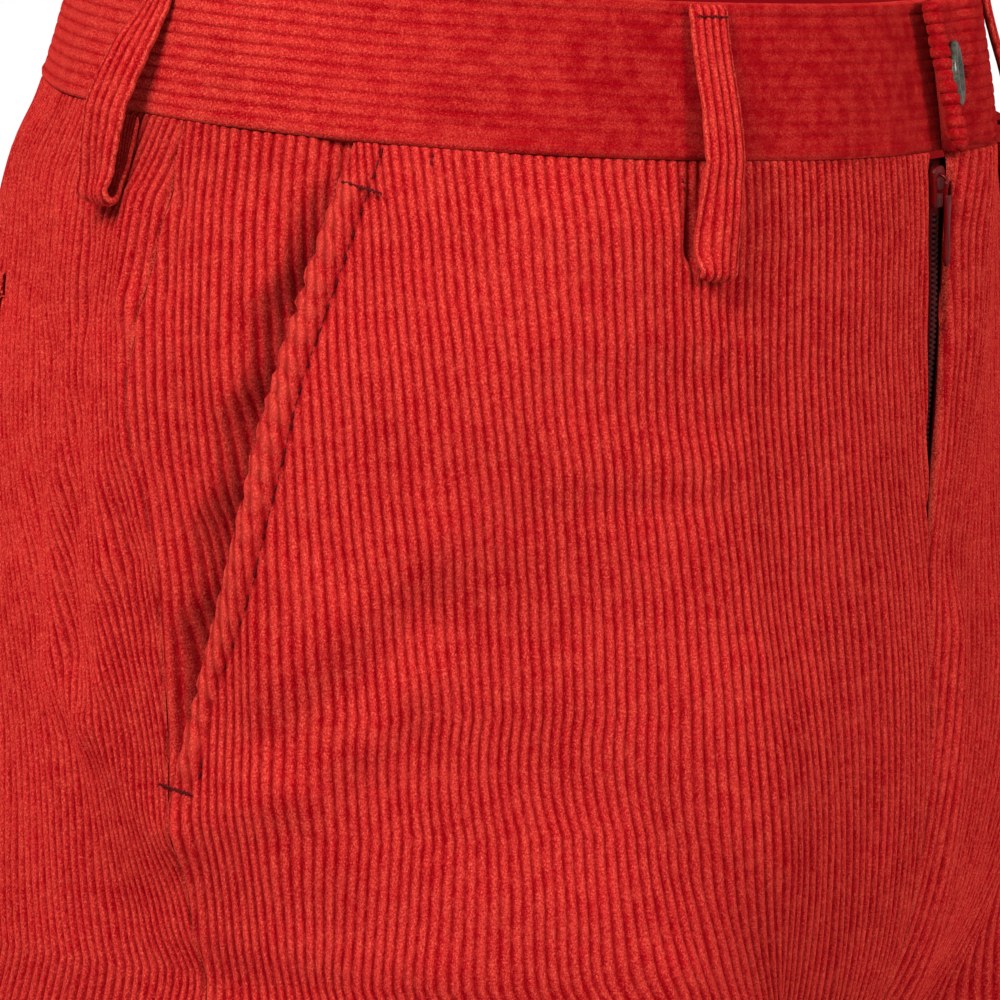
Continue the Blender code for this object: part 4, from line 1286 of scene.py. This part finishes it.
# A stitch is a bar of rings: where they are along it, and their sizes
RING_SHARES = (0.0, 0.12, 0.35, 0.65, 0.88, 1.0)
RING_SIZES = (0.30, 0.80, 1.0, 1.0, 0.80, 0.30)
RING_SIDES = 8
STITCHED = (0.0005, 0.1575)  # where the topstitching starts and ends
STITCH_PITCH = 0.0030
STITCH_GAP = 0.0004
STITCH_SWAY = 0.00022
THREAD_RADIUS = 0.00018
THREAD_SINK = 0.0005
BARTACK_RADIUS = 0.00025
LOOP_BARTACK = 0.0030  # how far below a loop's top its bartack is
BASTING_PITCH = 0.0016
# Each bartack's two ends as (turn, drop), and its lift
POCKET_BARTACKS = (
    ("upper", (0.4085, 0.0100), (0.3835, 0.0120), 0.0021),
    ("lower", (0.5110, 0.1588), (0.4885, 0.1606), 0.0004),
)
BASTING_MARKS = (
    ("basting_mark_front", (0.3540, 0.0008), (0.3548, 0.0045)),
    ("basting_mark_loop", (0.2032, 0.0040), (0.2012, 0.0078)),
)


def bar_faces(rings, sides, base=0):
    """The faces of a bar whose rings of vertices follow each other, closed at both ends."""
    faces = []
    for low in range(base, base + (rings - 1) * sides, sides):
        for i in range(sides):
            j = (i + 1) % sides
            faces.append((low + i, low + j, low + sides + j, low + sides + i))
    last = base + (rings - 1) * sides
    return faces + [tuple(range(base, base + sides)), tuple(range(last, last + sides))]


def stitches(name, starts, ends, normals, radius, sink):
    """Short lengths of thread: each comes out of the cloth, lies on it and goes back in."""
    starts, ends, normals = (np.asarray(v, float).reshape(-1, 3) for v in (starts, ends, normals))
    rings = len(RING_SHARES)
    shares = np.array(RING_SHARES)[None, :, None]
    sizes = np.array(RING_SIZES)[None, :, None, None] * radius
    centres = starts[:, None] + (ends - starts)[:, None] * shares
    depth = sink * (1 - np.sin(np.pi * np.clip(shares, 0.0, 1.0)) ** 0.5)
    centres = centres - normals[:, None] * depth
    along = unit(ends - starts)
    sideways = unit(np.cross(along, normals))
    up = np.cross(sideways, along)
    angles = np.linspace(0, 2 * np.pi, RING_SIDES, endpoint=False)[None, None, :, None]
    circle = np.cos(angles) * sideways[:, None, None] + np.sin(angles) * up[:, None, None]
    points = centres[:, :, None] + circle * sizes
    faces = []
    for stitch in range(len(starts)):
        faces += bar_faces(rings, RING_SIDES, stitch * rings * RING_SIDES)
    return add_piece(name, points.reshape(-1, 3), faces)


def stitch_line(name, side, places, pitch, gap, lift, wiggle=0.0):
    """Stitches along a line of (turn, drop) places, pitch apart and gap shorter than that."""
    places = np.asarray(places, float)
    fine = np.linspace(0, 1, 600)
    own = np.linspace(0, 1, len(places))
    turns, drops = np.interp(fine, own, places[:, 0]), np.interp(fine, own, places[:, 1])
    line = surface_point(side, turns, drops, lift)
    run = running(np.linalg.norm(np.diff(line, axis=0), axis=1))
    count = max(1, int(run[-1] / pitch))
    near = (np.arange(count) + 0.5) * run[-1] / count - (pitch - gap) / 2
    far = near + pitch - gap
    starts, ends = (
        np.stack([np.interp(runs, run, line[:, k]) for k in range(3)], axis=1) for runs in (near, far)
    )
    middle = np.interp((near + far) / 2, run, fine)
    normals = outward(side, np.interp(middle, fine, turns), np.interp(middle, fine, drops))
    aside = unit(np.cross(ends - starts, normals))
    shift = wiggle * np.sin(2.4 * np.arange(count))[:, None] * aside
    return stitches(name, starts + shift, ends - shift, normals, THREAD_RADIUS, THREAD_SINK)


def bartack(name, side, first, last, lift, height=0.0008, count=22):
    """A dense zigzag of thread across the end of a pocket's mouth or of a loop."""
    steps = np.arange(count + 1)
    shares = steps / count
    turns = first[0] + (last[0] - first[0]) * shares
    uneven = 1 + 0.4 * np.sin(5.3 * steps)
    drops = first[1] + (last[1] - first[1]) * shares + height / 2 * uneven * (-1) ** steps
    points = surface_point(side, turns, drops, lift + 0.00020 * np.sin(9.1 * steps))
    normals = outward(side, turns, drops)
    return stitches(name, points[:-1], points[1:], normals[:-1], BARTACK_RADIUS, 0.0002)


def make_stitching():
    """Topstitching and bartacks at the pockets, bartacks on the loops, and two basting marks."""
    pieces = []
    drops = np.linspace(*STITCHED, 60)
    line = np.stack((topstitch(drops), drops), axis=1)
    for side, word in SIDES:
        name = f"topstitching_{word}"
        pieces.append(stitch_line(name, side, line, STITCH_PITCH, STITCH_GAP, -0.0001, STITCH_SWAY))
        for place, first, last, lift in POCKET_BARTACKS:
            pieces.append(bartack(f"pocket_bartack_{place}_{word}", side, first, last, lift))
    half = 0.42 * LOOP_WIDTH / HALF_ROUND
    drop = LOOP_TOP + LOOP_BARTACK
    for loop in LOOPS:
        name = loop.name.replace("belt_loop_", "loop_bartack_upper_")
        first, last = (loop.top_turn - half, drop), (loop.top_turn + half, drop)
        pieces.append(bartack(name, loop.side, first, last, LOOP_THICK + BAND_PROUD + 0.0016, 0.0005, 12))
    for name, first, last in BASTING_MARKS:
        pieces.append(stitch_line(name, -1, (first, last), BASTING_PITCH, 0.0002, 0.0002))
    return pieces


def turned(name, profile, steps):
    """A turned shape around +Z from (radius, height) pairs that start and end on the axis."""
    vertices, faces, rings = [], [], []
    for radius, height in profile:
        count = 1 if radius == 0 else steps
        rings.append(range(len(vertices), len(vertices) + count))
        for k in range(count):
            angle = 2 * math.pi * k / steps
            vertices.append((radius * math.cos(angle), radius * math.sin(angle), height))
    for low, high in zip(rings, rings[1:]):
        for k in range(steps):
            n = (k + 1) % steps
            corners = [low[k % len(low)], low[n % len(low)], high[n % len(high)], high[k % len(high)]]
            faces.append(tuple(dict.fromkeys(corners)))
    return add_piece(name, vertices, faces)


def cut(piece, cutters):
    """Cuts the cutters' shapes out of a piece, and removes them."""
    for cutter in cutters:
        boolean = piece.modifiers.new("cut", "BOOLEAN")
        boolean.object = cutter
        boolean.operation = "DIFFERENCE"
    graph = bpy.context.evaluated_depsgraph_get()
    mesh = bpy.data.meshes.new_from_object(piece.evaluated_get(graph))
    piece.modifiers.clear()
    mesh.shade_smooth()
    piece.data = mesh
    for cutter in cutters:
        bpy.data.objects.remove(cutter)


def cut_cloth(piece, cutters):
    """Cuts cloth: a vertex then has the place across the cloth of the old vertex nearest to it."""
    old = piece.data
    places = np.empty(3 * len(old.vertices), np.float32)
    old.attributes["wale_place"].data.foreach_get("vector", places)
    tree = KDTree(len(old.vertices))
    for number, vertex in enumerate(old.vertices):
        tree.insert(vertex.co, number)
    tree.balance()
    cut(piece, cutters)
    mesh = piece.data
    nearest = [tree.find(vertex.co)[1] for vertex in mesh.vertices]
    if "wale_place" in mesh.attributes:
        mesh.attributes.remove(mesh.attributes["wale_place"])
    mark(mesh, "wale_place", "FLOAT_VECTOR", places.reshape(-1, 3)[nearest])


def frame_on_band(arc, drop, lift):
    """A matrix at a place on the left band: +Z points outwards, +X along the band."""
    turn = arc / HALF_ROUND
    out = Vector(outward(1, turn, drop))
    along = Vector((-out.y, out.x, 0)).normalized()
    matrix = Matrix((along, out.cross(along), out)).transposed().to_4x4()
    matrix.translation = Vector(surface_point(1, turn, drop, lift))
    return matrix


def make_button():
    """A horn button with a raised rim and four holes, sewn on with a wound shank."""
    r, t = BUTTON_RADIUS, BUTTON_THICK
    button = turned("horn_button", [(x * r, z * t) for x, z in BUTTON_PROFILE], BUTTON_STEPS)
    bit = ((0.0, 1.1 * t), (HOLE_RADIUS, 1.1 * t), (HOLE_RADIUS, -0.1 * t), (0.0, -0.1 * t))
    drills = []
    for x in (-HOLE_OFFSET, HOLE_OFFSET):
        for y in (-HOLE_OFFSET, HOLE_OFFSET):
            drill = turned(f"drill_{len(drills)}", bit, HOLE_STEPS)
            drill.location = (x, y, 0)
            drills.append(drill)
    bpy.context.view_layer.update()
    cut(button, drills)
    matrix = frame_on_band(BUTTON_ARC, BUTTON_DROP, BUTTON_LIFT)
    matrix = matrix @ Matrix.Translation(BUTTON_SHIFT) @ Matrix.Rotation(BUTTON_TILT, 4, "Y")
    button.data.transform(matrix)

    out, aside = (np.array(matrix.col[k][:3]) for k in (2, 0))
    starts, ends = [], []
    for y in (-HOLE_OFFSET, HOLE_OFFSET):
        for step in THREAD_STEPS:
            starts.append(matrix @ Vector((-HOLE_OFFSET, y + step, THREAD_HEIGHT * t)))
            ends.append(matrix @ Vector((HOLE_OFFSET, y + step, THREAD_HEIGHT * t)))
    crossing = stitches("button_threads", starts, ends, [out] * len(starts), BUTTON_THREAD, 0.0005)
    foot = BAND_PROUD - 0.79 * UNDERLAP_SINK - BUTTON_LIFT + SEAM_GAP
    starts, ends = [], []
    for k in range(SHANK_TURNS):
        angle = 2 * math.pi * k / SHANK_TURNS
        for points, turn, height in ((starts, angle, foot), (ends, angle + SHANK_TWIST, -0.0002)):
            x, y = SHANK_RADIUS * math.cos(turn), SHANK_RADIUS * math.sin(turn)
            points.append(matrix @ Vector((x, y, height)))
    shank = stitches("button_shank", starts, ends, [aside] * len(starts), SHANK_THREAD, 0.0)
    return button, crossing, shank


def box_at(name, size, matrix):
    block = bmesh.new()
    bmesh.ops.create_cube(block, size=1.0)
    bmesh.ops.scale(block, vec=size, verts=block.verts)
    box = add_shape(name, block)
    box.data.transform(matrix)
    return box


def make_buttonhole(band):
    """A slit through the tab, and the dense stitches that bind its edge."""
    matrix = frame_on_band(BUTTON_ARC + BUTTONHOLE_SHIFT, BUTTON_DROP, 0.0015)
    size = (BUTTONHOLE_LENGTH, BUTTONHOLE_HEIGHT, 0.012)
    cut_cloth(band, [box_at("buttonhole_cutter", size, matrix)])
    starts, ends = [], []
    for k in range(BUTTONHOLE_STITCHES):
        angle = 2 * math.pi * k / BUTTONHOLE_STITCHES
        c, s = math.cos(angle), math.sin(angle)
        x = BUTTONHOLE_LENGTH / 2 * math.copysign(abs(c) ** BINDING_BEND, c)
        y = BUTTONHOLE_HEIGHT / 2 * math.copysign(abs(s) ** BINDING_BEND, s)
        away = Vector((c * 0.5, s, 0)).normalized()
        near = Vector((x, y, BINDING_LIFT)) - away * 0.0002
        far = near + away * BINDING_WIDTH
        near.z -= BINDING_TUCK
        starts.append(matrix @ near)
        ends.append(matrix @ far)
    normals = [np.array(matrix.col[2][:3])] * len(starts)
    return stitches("buttonhole_stitches", starts, ends, normals, BUTTONHOLE_THREAD, 0.0002)


# The zip: above its slider the tapes stand a little apart
ZIP_CENTRE = 0.0020
ZIP_END = 0.160
ZIP_DIVE_START = 0.035
ZIP_DIVE_END = 0.085
ZIP_DIVE = 0.0027
TAPE_TOP = 0.002
TAPES_MEET = 0.017
TAPES_APART = 0.0012
TAPE_WIDTH = 0.0140
TAPE_THICK = 0.0010
CORD_PLACE = 0.0030  # from the tape's inner edge
CORD_WIDTH = 0.0008
CORD_HEIGHT = 0.0002
CHAIN_THICK = 0.0020
CHAIN_LIFT = 0.0003
TOOTH_PITCH = 0.00145
TOOTH_RADIUS = 0.00055
TOOTH_REACH = (-0.0005, 0.0017)
TEETH_START = 0.0158
TEETH_END = ZIP_END - 0.004
BAR_SIDES = 12
SLIDER_TOP = -0.0135
SLIDER_BOTTOM = -0.0242
SLIDER_FRONT = 0.1208
FRONT_PLATE = 0.0016
CHANNEL_DEPTH = 0.0046
BACK_PLATE = 0.0012
POST_START = 0.0008  # behind the front face: the post is rooted in both plates
POST_LENGTH = FRONT_PLATE + CHANNEL_DEPTH - 0.0004
ARCH_ROOT = 0.0004  # how deep the arch's feet are in the front plate
ARCH_DEPTH = 0.0025
ARCH_HALF_HEIGHT = 0.0022
ARCH_RADIUS = 0.0005
STOP_DROPS = (0.0030, 0.0068)
STOP_OFFSET = 0.0021
STOP_RADIUS = 0.0009
PULL_PIVOT = (0.0020, -0.1230, -0.0180)
PULL_LENGTH = 0.0210
PULL_HALF_WIDTH = 0.0013
PULL_THICK = 0.0011


def zip_dive(drops):
    """Below the open stretch the zip sinks behind the lapped fronts."""
    return -ZIP_DIVE * smooth(drops, ZIP_DIVE_START, ZIP_DIVE_END)


def make_tape(side, word):
    """A woven tape with a thicker cord along its inner edge."""
    above = np.linspace(TAPE_TOP, TAPES_MEET - 0.0005, 6)
    rows = np.concatenate((above, np.linspace(TAPES_MEET + 0.0010, ZIP_END, 48)))
    drops = rows[:, None]
    notch = np.where(rows < TAPES_MEET, TAPES_APART, SEAM_GAP / 2)
    near, far = ZIP_CENTRE + side * notch, np.full(len(rows), ZIP_CENTRE + side * TAPE_WIDTH)
    start, end = np.minimum(near, far), np.maximum(near, far)

    def point(across, is_back):
        lift = CHAIN_LIFT - CHAIN_THICK - SEAM_GAP + zip_dive(drops)
        if is_back:
            return surface_point(1, across / HALF_ROUND, drops, lift - TAPE_THICK)
        cord = np.exp(-(((np.abs(across - near[:, None]) - CORD_PLACE) / CORD_WIDTH) ** 2))
        lift = lift + CORD_HEIGHT * cord - 0.2 * round_off(from_edge(across, start, end))
        return surface_point(1, across / HALF_ROUND, drops, lift)

    columns = np.arange(start.min(), end.max(), 0.0006)
    return corduroy(f"zip_tape_ribbon_{word}", columns, start, end, rows, point, inner_columns=6)


def make_teeth():
    """Two rows of moulded teeth that mesh on the chain's centre line."""
    count = int((TEETH_END - TEETH_START) / TOOTH_PITCH * 2)
    drops = TEETH_START + np.arange(count) * TOOTH_PITCH / 2
    sides = np.where(np.arange(count) % 2, 1, -1)
    lift = CHAIN_LIFT + 0.0003 + zip_dive(drops)
    starts, ends = (
        surface_point(1, (ZIP_CENTRE + sides * reach) / HALF_ROUND, drops, lift) for reach in TOOTH_REACH
    )
    normals = outward(1, np.full(count, ZIP_CENTRE / HALF_ROUND), drops)
    return stitches("zip_teeth_rows", starts, ends, normals, TOOTH_RADIUS, 0.0004)


def plate(name, outline, front, thickness, bevel):
    """A flat shape in the XZ plane with rounded edges, from y = front backwards."""
    shape = bmesh.new()
    corners = [shape.verts.new((x, front, z)) for x, z in outline]
    made = bmesh.ops.extrude_face_region(shape, geom=[shape.faces.new(corners)])
    moved = [item for item in made["geom"] if isinstance(item, bmesh.types.BMVert)]
    bmesh.ops.translate(shape, vec=(0, thickness, 0), verts=moved)
    bmesh.ops.recalc_face_normals(shape, faces=shape.faces)
    bmesh.ops.bevel(shape, geom=list(shape.edges), offset=bevel, segments=3, profile=0.5, affect="EDGES")
    return add_shape(name, shape)


def tube(name, path, radius):
    """A round bar along a path, closed at both ends."""
    path = np.asarray(path, float)
    tangents = unit(np.gradient(path, axis=0))
    guide = np.array((1.0, 0.0, 0.0)) if abs(tangents[0][0]) < 0.9 else np.array((0.0, 0.0, 1.0))
    first = unit(np.cross(tangents, guide))
    second = np.cross(tangents, first)
    angles = np.linspace(0, 2 * np.pi, BAR_SIDES, endpoint=False)[None, :, None]
    rings = path[:, None] + radius * (np.cos(angles) * first[:, None] + np.sin(angles) * second[:, None])
    return add_piece(name, rings.reshape(-1, 3), bar_faces(len(path), BAR_SIDES))


def join(pieces, name):
    """One mesh of several pieces that are one part."""
    whole = bmesh.new()
    for piece in pieces:
        whole.from_mesh(piece.data)
        bpy.data.objects.remove(piece)
    return add_shape(name, whole)


def mirrored(half):
    """A closed outline from the half with x above 0, listed from its top to its bottom."""
    return [(x + ZIP_CENTRE, z) for x, z in half] + [(ZIP_CENTRE - x, z) for x, z in reversed(half)]


def make_slider():
    """Front and back plates on a post, with a wire arch that holds the pull."""
    shield = (
        (0.0016, SLIDER_TOP),
        (0.0028, SLIDER_TOP - 0.0005),
        (0.0034, SLIDER_TOP - 0.0017),
        (0.0034, SLIDER_TOP - 0.0034),
        (0.0027, SLIDER_TOP - 0.0062),
        (0.0025, SLIDER_BOTTOM + 0.0008),
        (0.0021, SLIDER_BOTTOM),
    )
    smaller = [(0.9 * x, z - 0.0004 if z > -0.018 else z + 0.0004) for x, z in shield]
    back_start = -SLIDER_FRONT + FRONT_PLATE + CHANNEL_DEPTH
    post = ((0.0008, SLIDER_TOP - 0.0012), (0.0008, SLIDER_TOP - 0.0040), (0.0003, SLIDER_TOP - 0.0052))
    arch = [
        (
            ZIP_CENTRE,
            -SLIDER_FRONT + ARCH_ROOT - ARCH_DEPTH * math.sin(angle),
            PULL_PIVOT[2] + ARCH_HALF_HEIGHT * math.cos(angle),
        )
        for angle in np.linspace(0, np.pi, 15)
    ]
    parts = [
        plate("front_plate", mirrored(shield), -SLIDER_FRONT, FRONT_PLATE, 0.00035),
        plate("back_plate", mirrored(smaller), back_start, BACK_PLATE, 0.0003),
        plate("post", mirrored(post), -SLIDER_FRONT + POST_START, POST_LENGTH, 0.0001),
        tube("arch", arch, ARCH_RADIUS),
    ]
    return join(parts, "enamelled_slider")


def make_pull():
    """A pull with two ears on a cross bar, a waist and a rounded end."""
    half = (
        (0.0010, -0.0034),
        (PULL_HALF_WIDTH, -0.0030),
        (PULL_HALF_WIDTH, 0.0001),
        (PULL_HALF_WIDTH - 0.0002, 0.0006),
        (0.0011, 0.0006),
    )
    pivot_x, pivot_y, pivot_z = PULL_PIVOT
    front = pivot_y - PULL_THICK / 2
    ears = []
    for side in (-1, 1):
        outline = [(pivot_x + side * x, pivot_z + z) for x, z in half]
        ears.append(plate(f"ear_{side}", outline, front, PULL_THICK, 0.0002))
    body = (
        (PULL_HALF_WIDTH, -0.0029),
        (PULL_HALF_WIDTH, -0.0060),
        (0.0010, -0.0095),
        (0.0010, -0.0130),
        (PULL_HALF_WIDTH, -0.0165),
        (PULL_HALF_WIDTH, -PULL_LENGTH + 0.0018),
        (PULL_HALF_WIDTH - 0.0006, -PULL_LENGTH + 0.0005),
        (PULL_HALF_WIDTH - 0.0012, -PULL_LENGTH),
    )
    tab = plate("pull_tab", mirrored([(x, pivot_z + z) for x, z in body]), front, PULL_THICK, 0.00028)
    bar = tube("bar", [(pivot_x + x, pivot_y, pivot_z) for x in np.linspace(-0.0015, 0.0015, 5)], 0.00028)
    return join([tab, bar] + ears, "enamelled_pull")


def make_stops():
    """The metal stop at the top of each tape."""
    stops = []
    for side in (-1, 1):
        turn = (ZIP_CENTRE + side * STOP_OFFSET) / HALF_ROUND
        first, last = (surface_point(1, turn, drop, -0.0012) for drop in STOP_DROPS)
        out = outward(1, turn, 0.004)
        stops.append(stitches(f"stop_{side}", [first], [last], [out], STOP_RADIUS, 0.0003))
    return join(stops, "zip_top_stops")


WELT_START = 0.718
WELT_END = 0.930
WELT_DROP = 0.0525
WELT_FALL = 0.0050
LIP_HEIGHT = 0.0052
LIP_THICK = 0.0012


def make_lip(side, word, offset, place):
    """A padded lip above (offset -1) or below (offset 1) a back pocket's mouth."""
    shares = np.concatenate(((0.0, 0.004, 0.012), np.linspace(0.03, 0.97, 44), (0.988, 0.996, 1.0)))
    turns = (WELT_START + (WELT_END - WELT_START) * shares)[:, None]
    length = (WELT_END - WELT_START) * HALF_ROUND
    mouth = WELT_DROP + WELT_FALL * shares[:, None]
    start = np.full(len(shares), min(offset * SEAM_GAP, offset * (SEAM_GAP + LIP_HEIGHT)))
    end = start + LIP_HEIGHT

    def point(across, is_back):
        lift = LIP_THICK + 1.6 * SEAM_GAP
        if is_back:
            return surface_point(side, turns, mouth + across, lift - LIP_THICK)
        along = np.minimum(shares, 1 - shares)[:, None] * length
        wales = relief(across, turns, WALE_STEPS, WALE_SHAPE)
        lift = lift + wales - 0.8 * round_off(from_edge(across, start, end))
        return surface_point(side, turns, mouth + across, lift + 0.0004 - 0.7 * round_off(along))

    columns = columns_of(start, end, WALE_STEPS)
    name = f"back_welt_{place}_{word}_lip"
    return corduroy(name, columns, start, end, shares * length, point, inner_columns=4)


def tape_material():
    """Twilled tape in a duller, darker red than the cloth."""
    m = Nodes("zip tape")
    spot = m.spot()
    weave = m.twill(spot, 420.0, 0.6)
    tone = m.mix(weave, (0.020, 0.0005, 0.0010), (0.060, 0.0020, 0.0030))
    tone = m.mix(m.noise(spot, 300.0), tone, (0.045, 0.0012, 0.0022))
    return m.surface(
        {
            "Base Color": tone,
            "Normal": m.bump(weave, 0.6, 0.00015),
            "Roughness": 0.9,
            "Specular IOR Level": 0.05,
        }
    )


# The light and the dark of the painted metals
ENAMEL = ((0.090, 0.0006, 0.0010), (0.050, 0.0003, 0.0005))
TEETH_RED = ((0.040, 0.0006, 0.0009), (0.020, 0.0003, 0.0005))


def enamel_material(name, light, dark, roughness, scale):
    """Painted metal: an even coat with slight waves, duller where fingers have worn it."""
    m = Nodes(name)
    spot = m.spot()
    cloud = m.noise(spot, scale, 3.0)
    tone = m.mix(m.step(cloud, 0.40, 0.66), light, dark)
    worn = m.step(cloud, 0.35, 0.70, roughness, roughness + 0.18)
    waves = m.bump(m.noise(spot, 4 * scale), 0.12, 0.0001)
    return m.surface(
        {
            "Base Color": tone,
            "Normal": waves,
            "Roughness": worn,
            "Specular IOR Level": 0.10,
            "Coat Weight": 0.03,
            "Coat Roughness": 0.15,
        }
    )


def horn_material():
    """Grey-olive horn with long, cloudy streaks and a polished face."""
    m = Nodes("horn button")
    spot = m.spot()
    stretch = {"Vector": spot, "Scale": (260.0, 260.0, 900.0), "Rotation": (0.3, 0.5, 0.2)}
    cloud = m.noise(m.add("ShaderNodeMapping", stretch)["Vector"], 1.0, 4.0, 0.6)
    fine = m.noise(spot, 900.0, 3.0)
    tone = m.mix(m.step(cloud, 0.30, 0.72), (0.012, 0.011, 0.007), (0.060, 0.056, 0.036))
    tone = m.mix(m.step(fine, 0.45, 0.70, 0.0, 0.30), tone, (0.110, 0.100, 0.072))
    return m.surface(
        {
            "Base Color": tone,
            "Normal": m.bump(fine, 0.08, 0.0001),
            "Roughness": m.step(cloud, 0.3, 0.7, 0.20, 0.36),
            "Specular IOR Level": 0.35,
            "Coat Weight": 0.10,
            "Coat Roughness": 0.15,
        }
    )


# What each visible cut was before it was sewn: (width, length, flat area or None) in metres
CUTS = {
    "front_right": (0.262, 1.000, 0.244),
    "front_left": (0.262, 1.000, 0.240),
    "back_right": (0.262, 1.000, 0.246),
    "back_left": (0.262, 1.000, 0.246),
    "side_facing_right": (0.075, 0.163, 0.0085),
    "side_facing_left": (0.075, 0.163, 0.0085),
    "waistband_right": (0.038, 0.450, None),
    "waistband_left": (0.038, 0.432, None),
    "belt_loop": (0.0102, 0.096, None),
    "zip_tape": (0.0140, 0.158, None),
    "back_welt": (0.0104, 0.105, 0.00055),
}


def declare_sheet(piece, node):
    """Looks up a cut's flat size by its node's name, and does nothing more with it."""
    family = node if node in CUTS else next(key for key in CUTS if node.startswith(key))
    width, length, area = CUTS[family]


def finish_piece(piece, material, body="garment", node=None):
    """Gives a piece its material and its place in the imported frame: node is what it stands for."""
    wear(piece, material)
    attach(piece, body)
    if node is not None:
        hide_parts(node)


def main():
    make_camera()
    make_studio()
    cord, thread = corduroy_material(), thread_material()
    # The band's cloth has painted shade on its front
    band_cord = corduroy_material("red corduroy band", 0.60, 0.62, BAND_FRONT_SHADE)
    tape = tape_material()

    shells = make_body()
    shells |= {f"waistband_{word}": make_band(side, word) for side, word in SIDES}
    shells |= {loop.name: make_loop(loop) for loop in LOOPS}
    for side, word in SIDES:
        for offset, place in ((-1, "upper"), (1, "lower")):
            shells[f"back_welt_{place}_{word}"] = make_lip(side, word, offset, place)
    tapes = {f"zip_tape_{word}": make_tape(side, word) for side, word in SIDES}
    sewn = make_stitching()
    sewn.append(make_buttonhole(shells["waistband_left"]))
    button, crossing, shank = make_button()
    sewn.append(crossing)
    for node, piece in shells.items():
        finish_piece(piece, band_cord if node.startswith("waistband") else cord, node=node)
        declare_sheet(piece, node)
    for node, piece in tapes.items():
        finish_piece(piece, tape, node=node)
        declare_sheet(piece, node)
    for piece in sewn:
        finish_piece(piece, thread)
    finish_piece(shank, thread, node="button_thread")
    finish_piece(button, horn_material(), node="waist_button")

    enamel = enamel_material("red enamel", *ENAMEL, 0.24, 260.0)
    metal = enamel_material("zip teeth", *TEETH_RED, 0.55, 300.0)
    slider, pull = make_slider(), make_pull()
    finish_piece(slider, enamel, node="zip_slider")
    finish_piece(pull, enamel, body="pull_tab", node="zip_pull")
    teeth, stops = make_teeth(), make_stops()
    finish_piece(teeth, metal, node="zip_chain")
    finish_piece(stops, metal)


main()
bpy.context.view_layer.update()
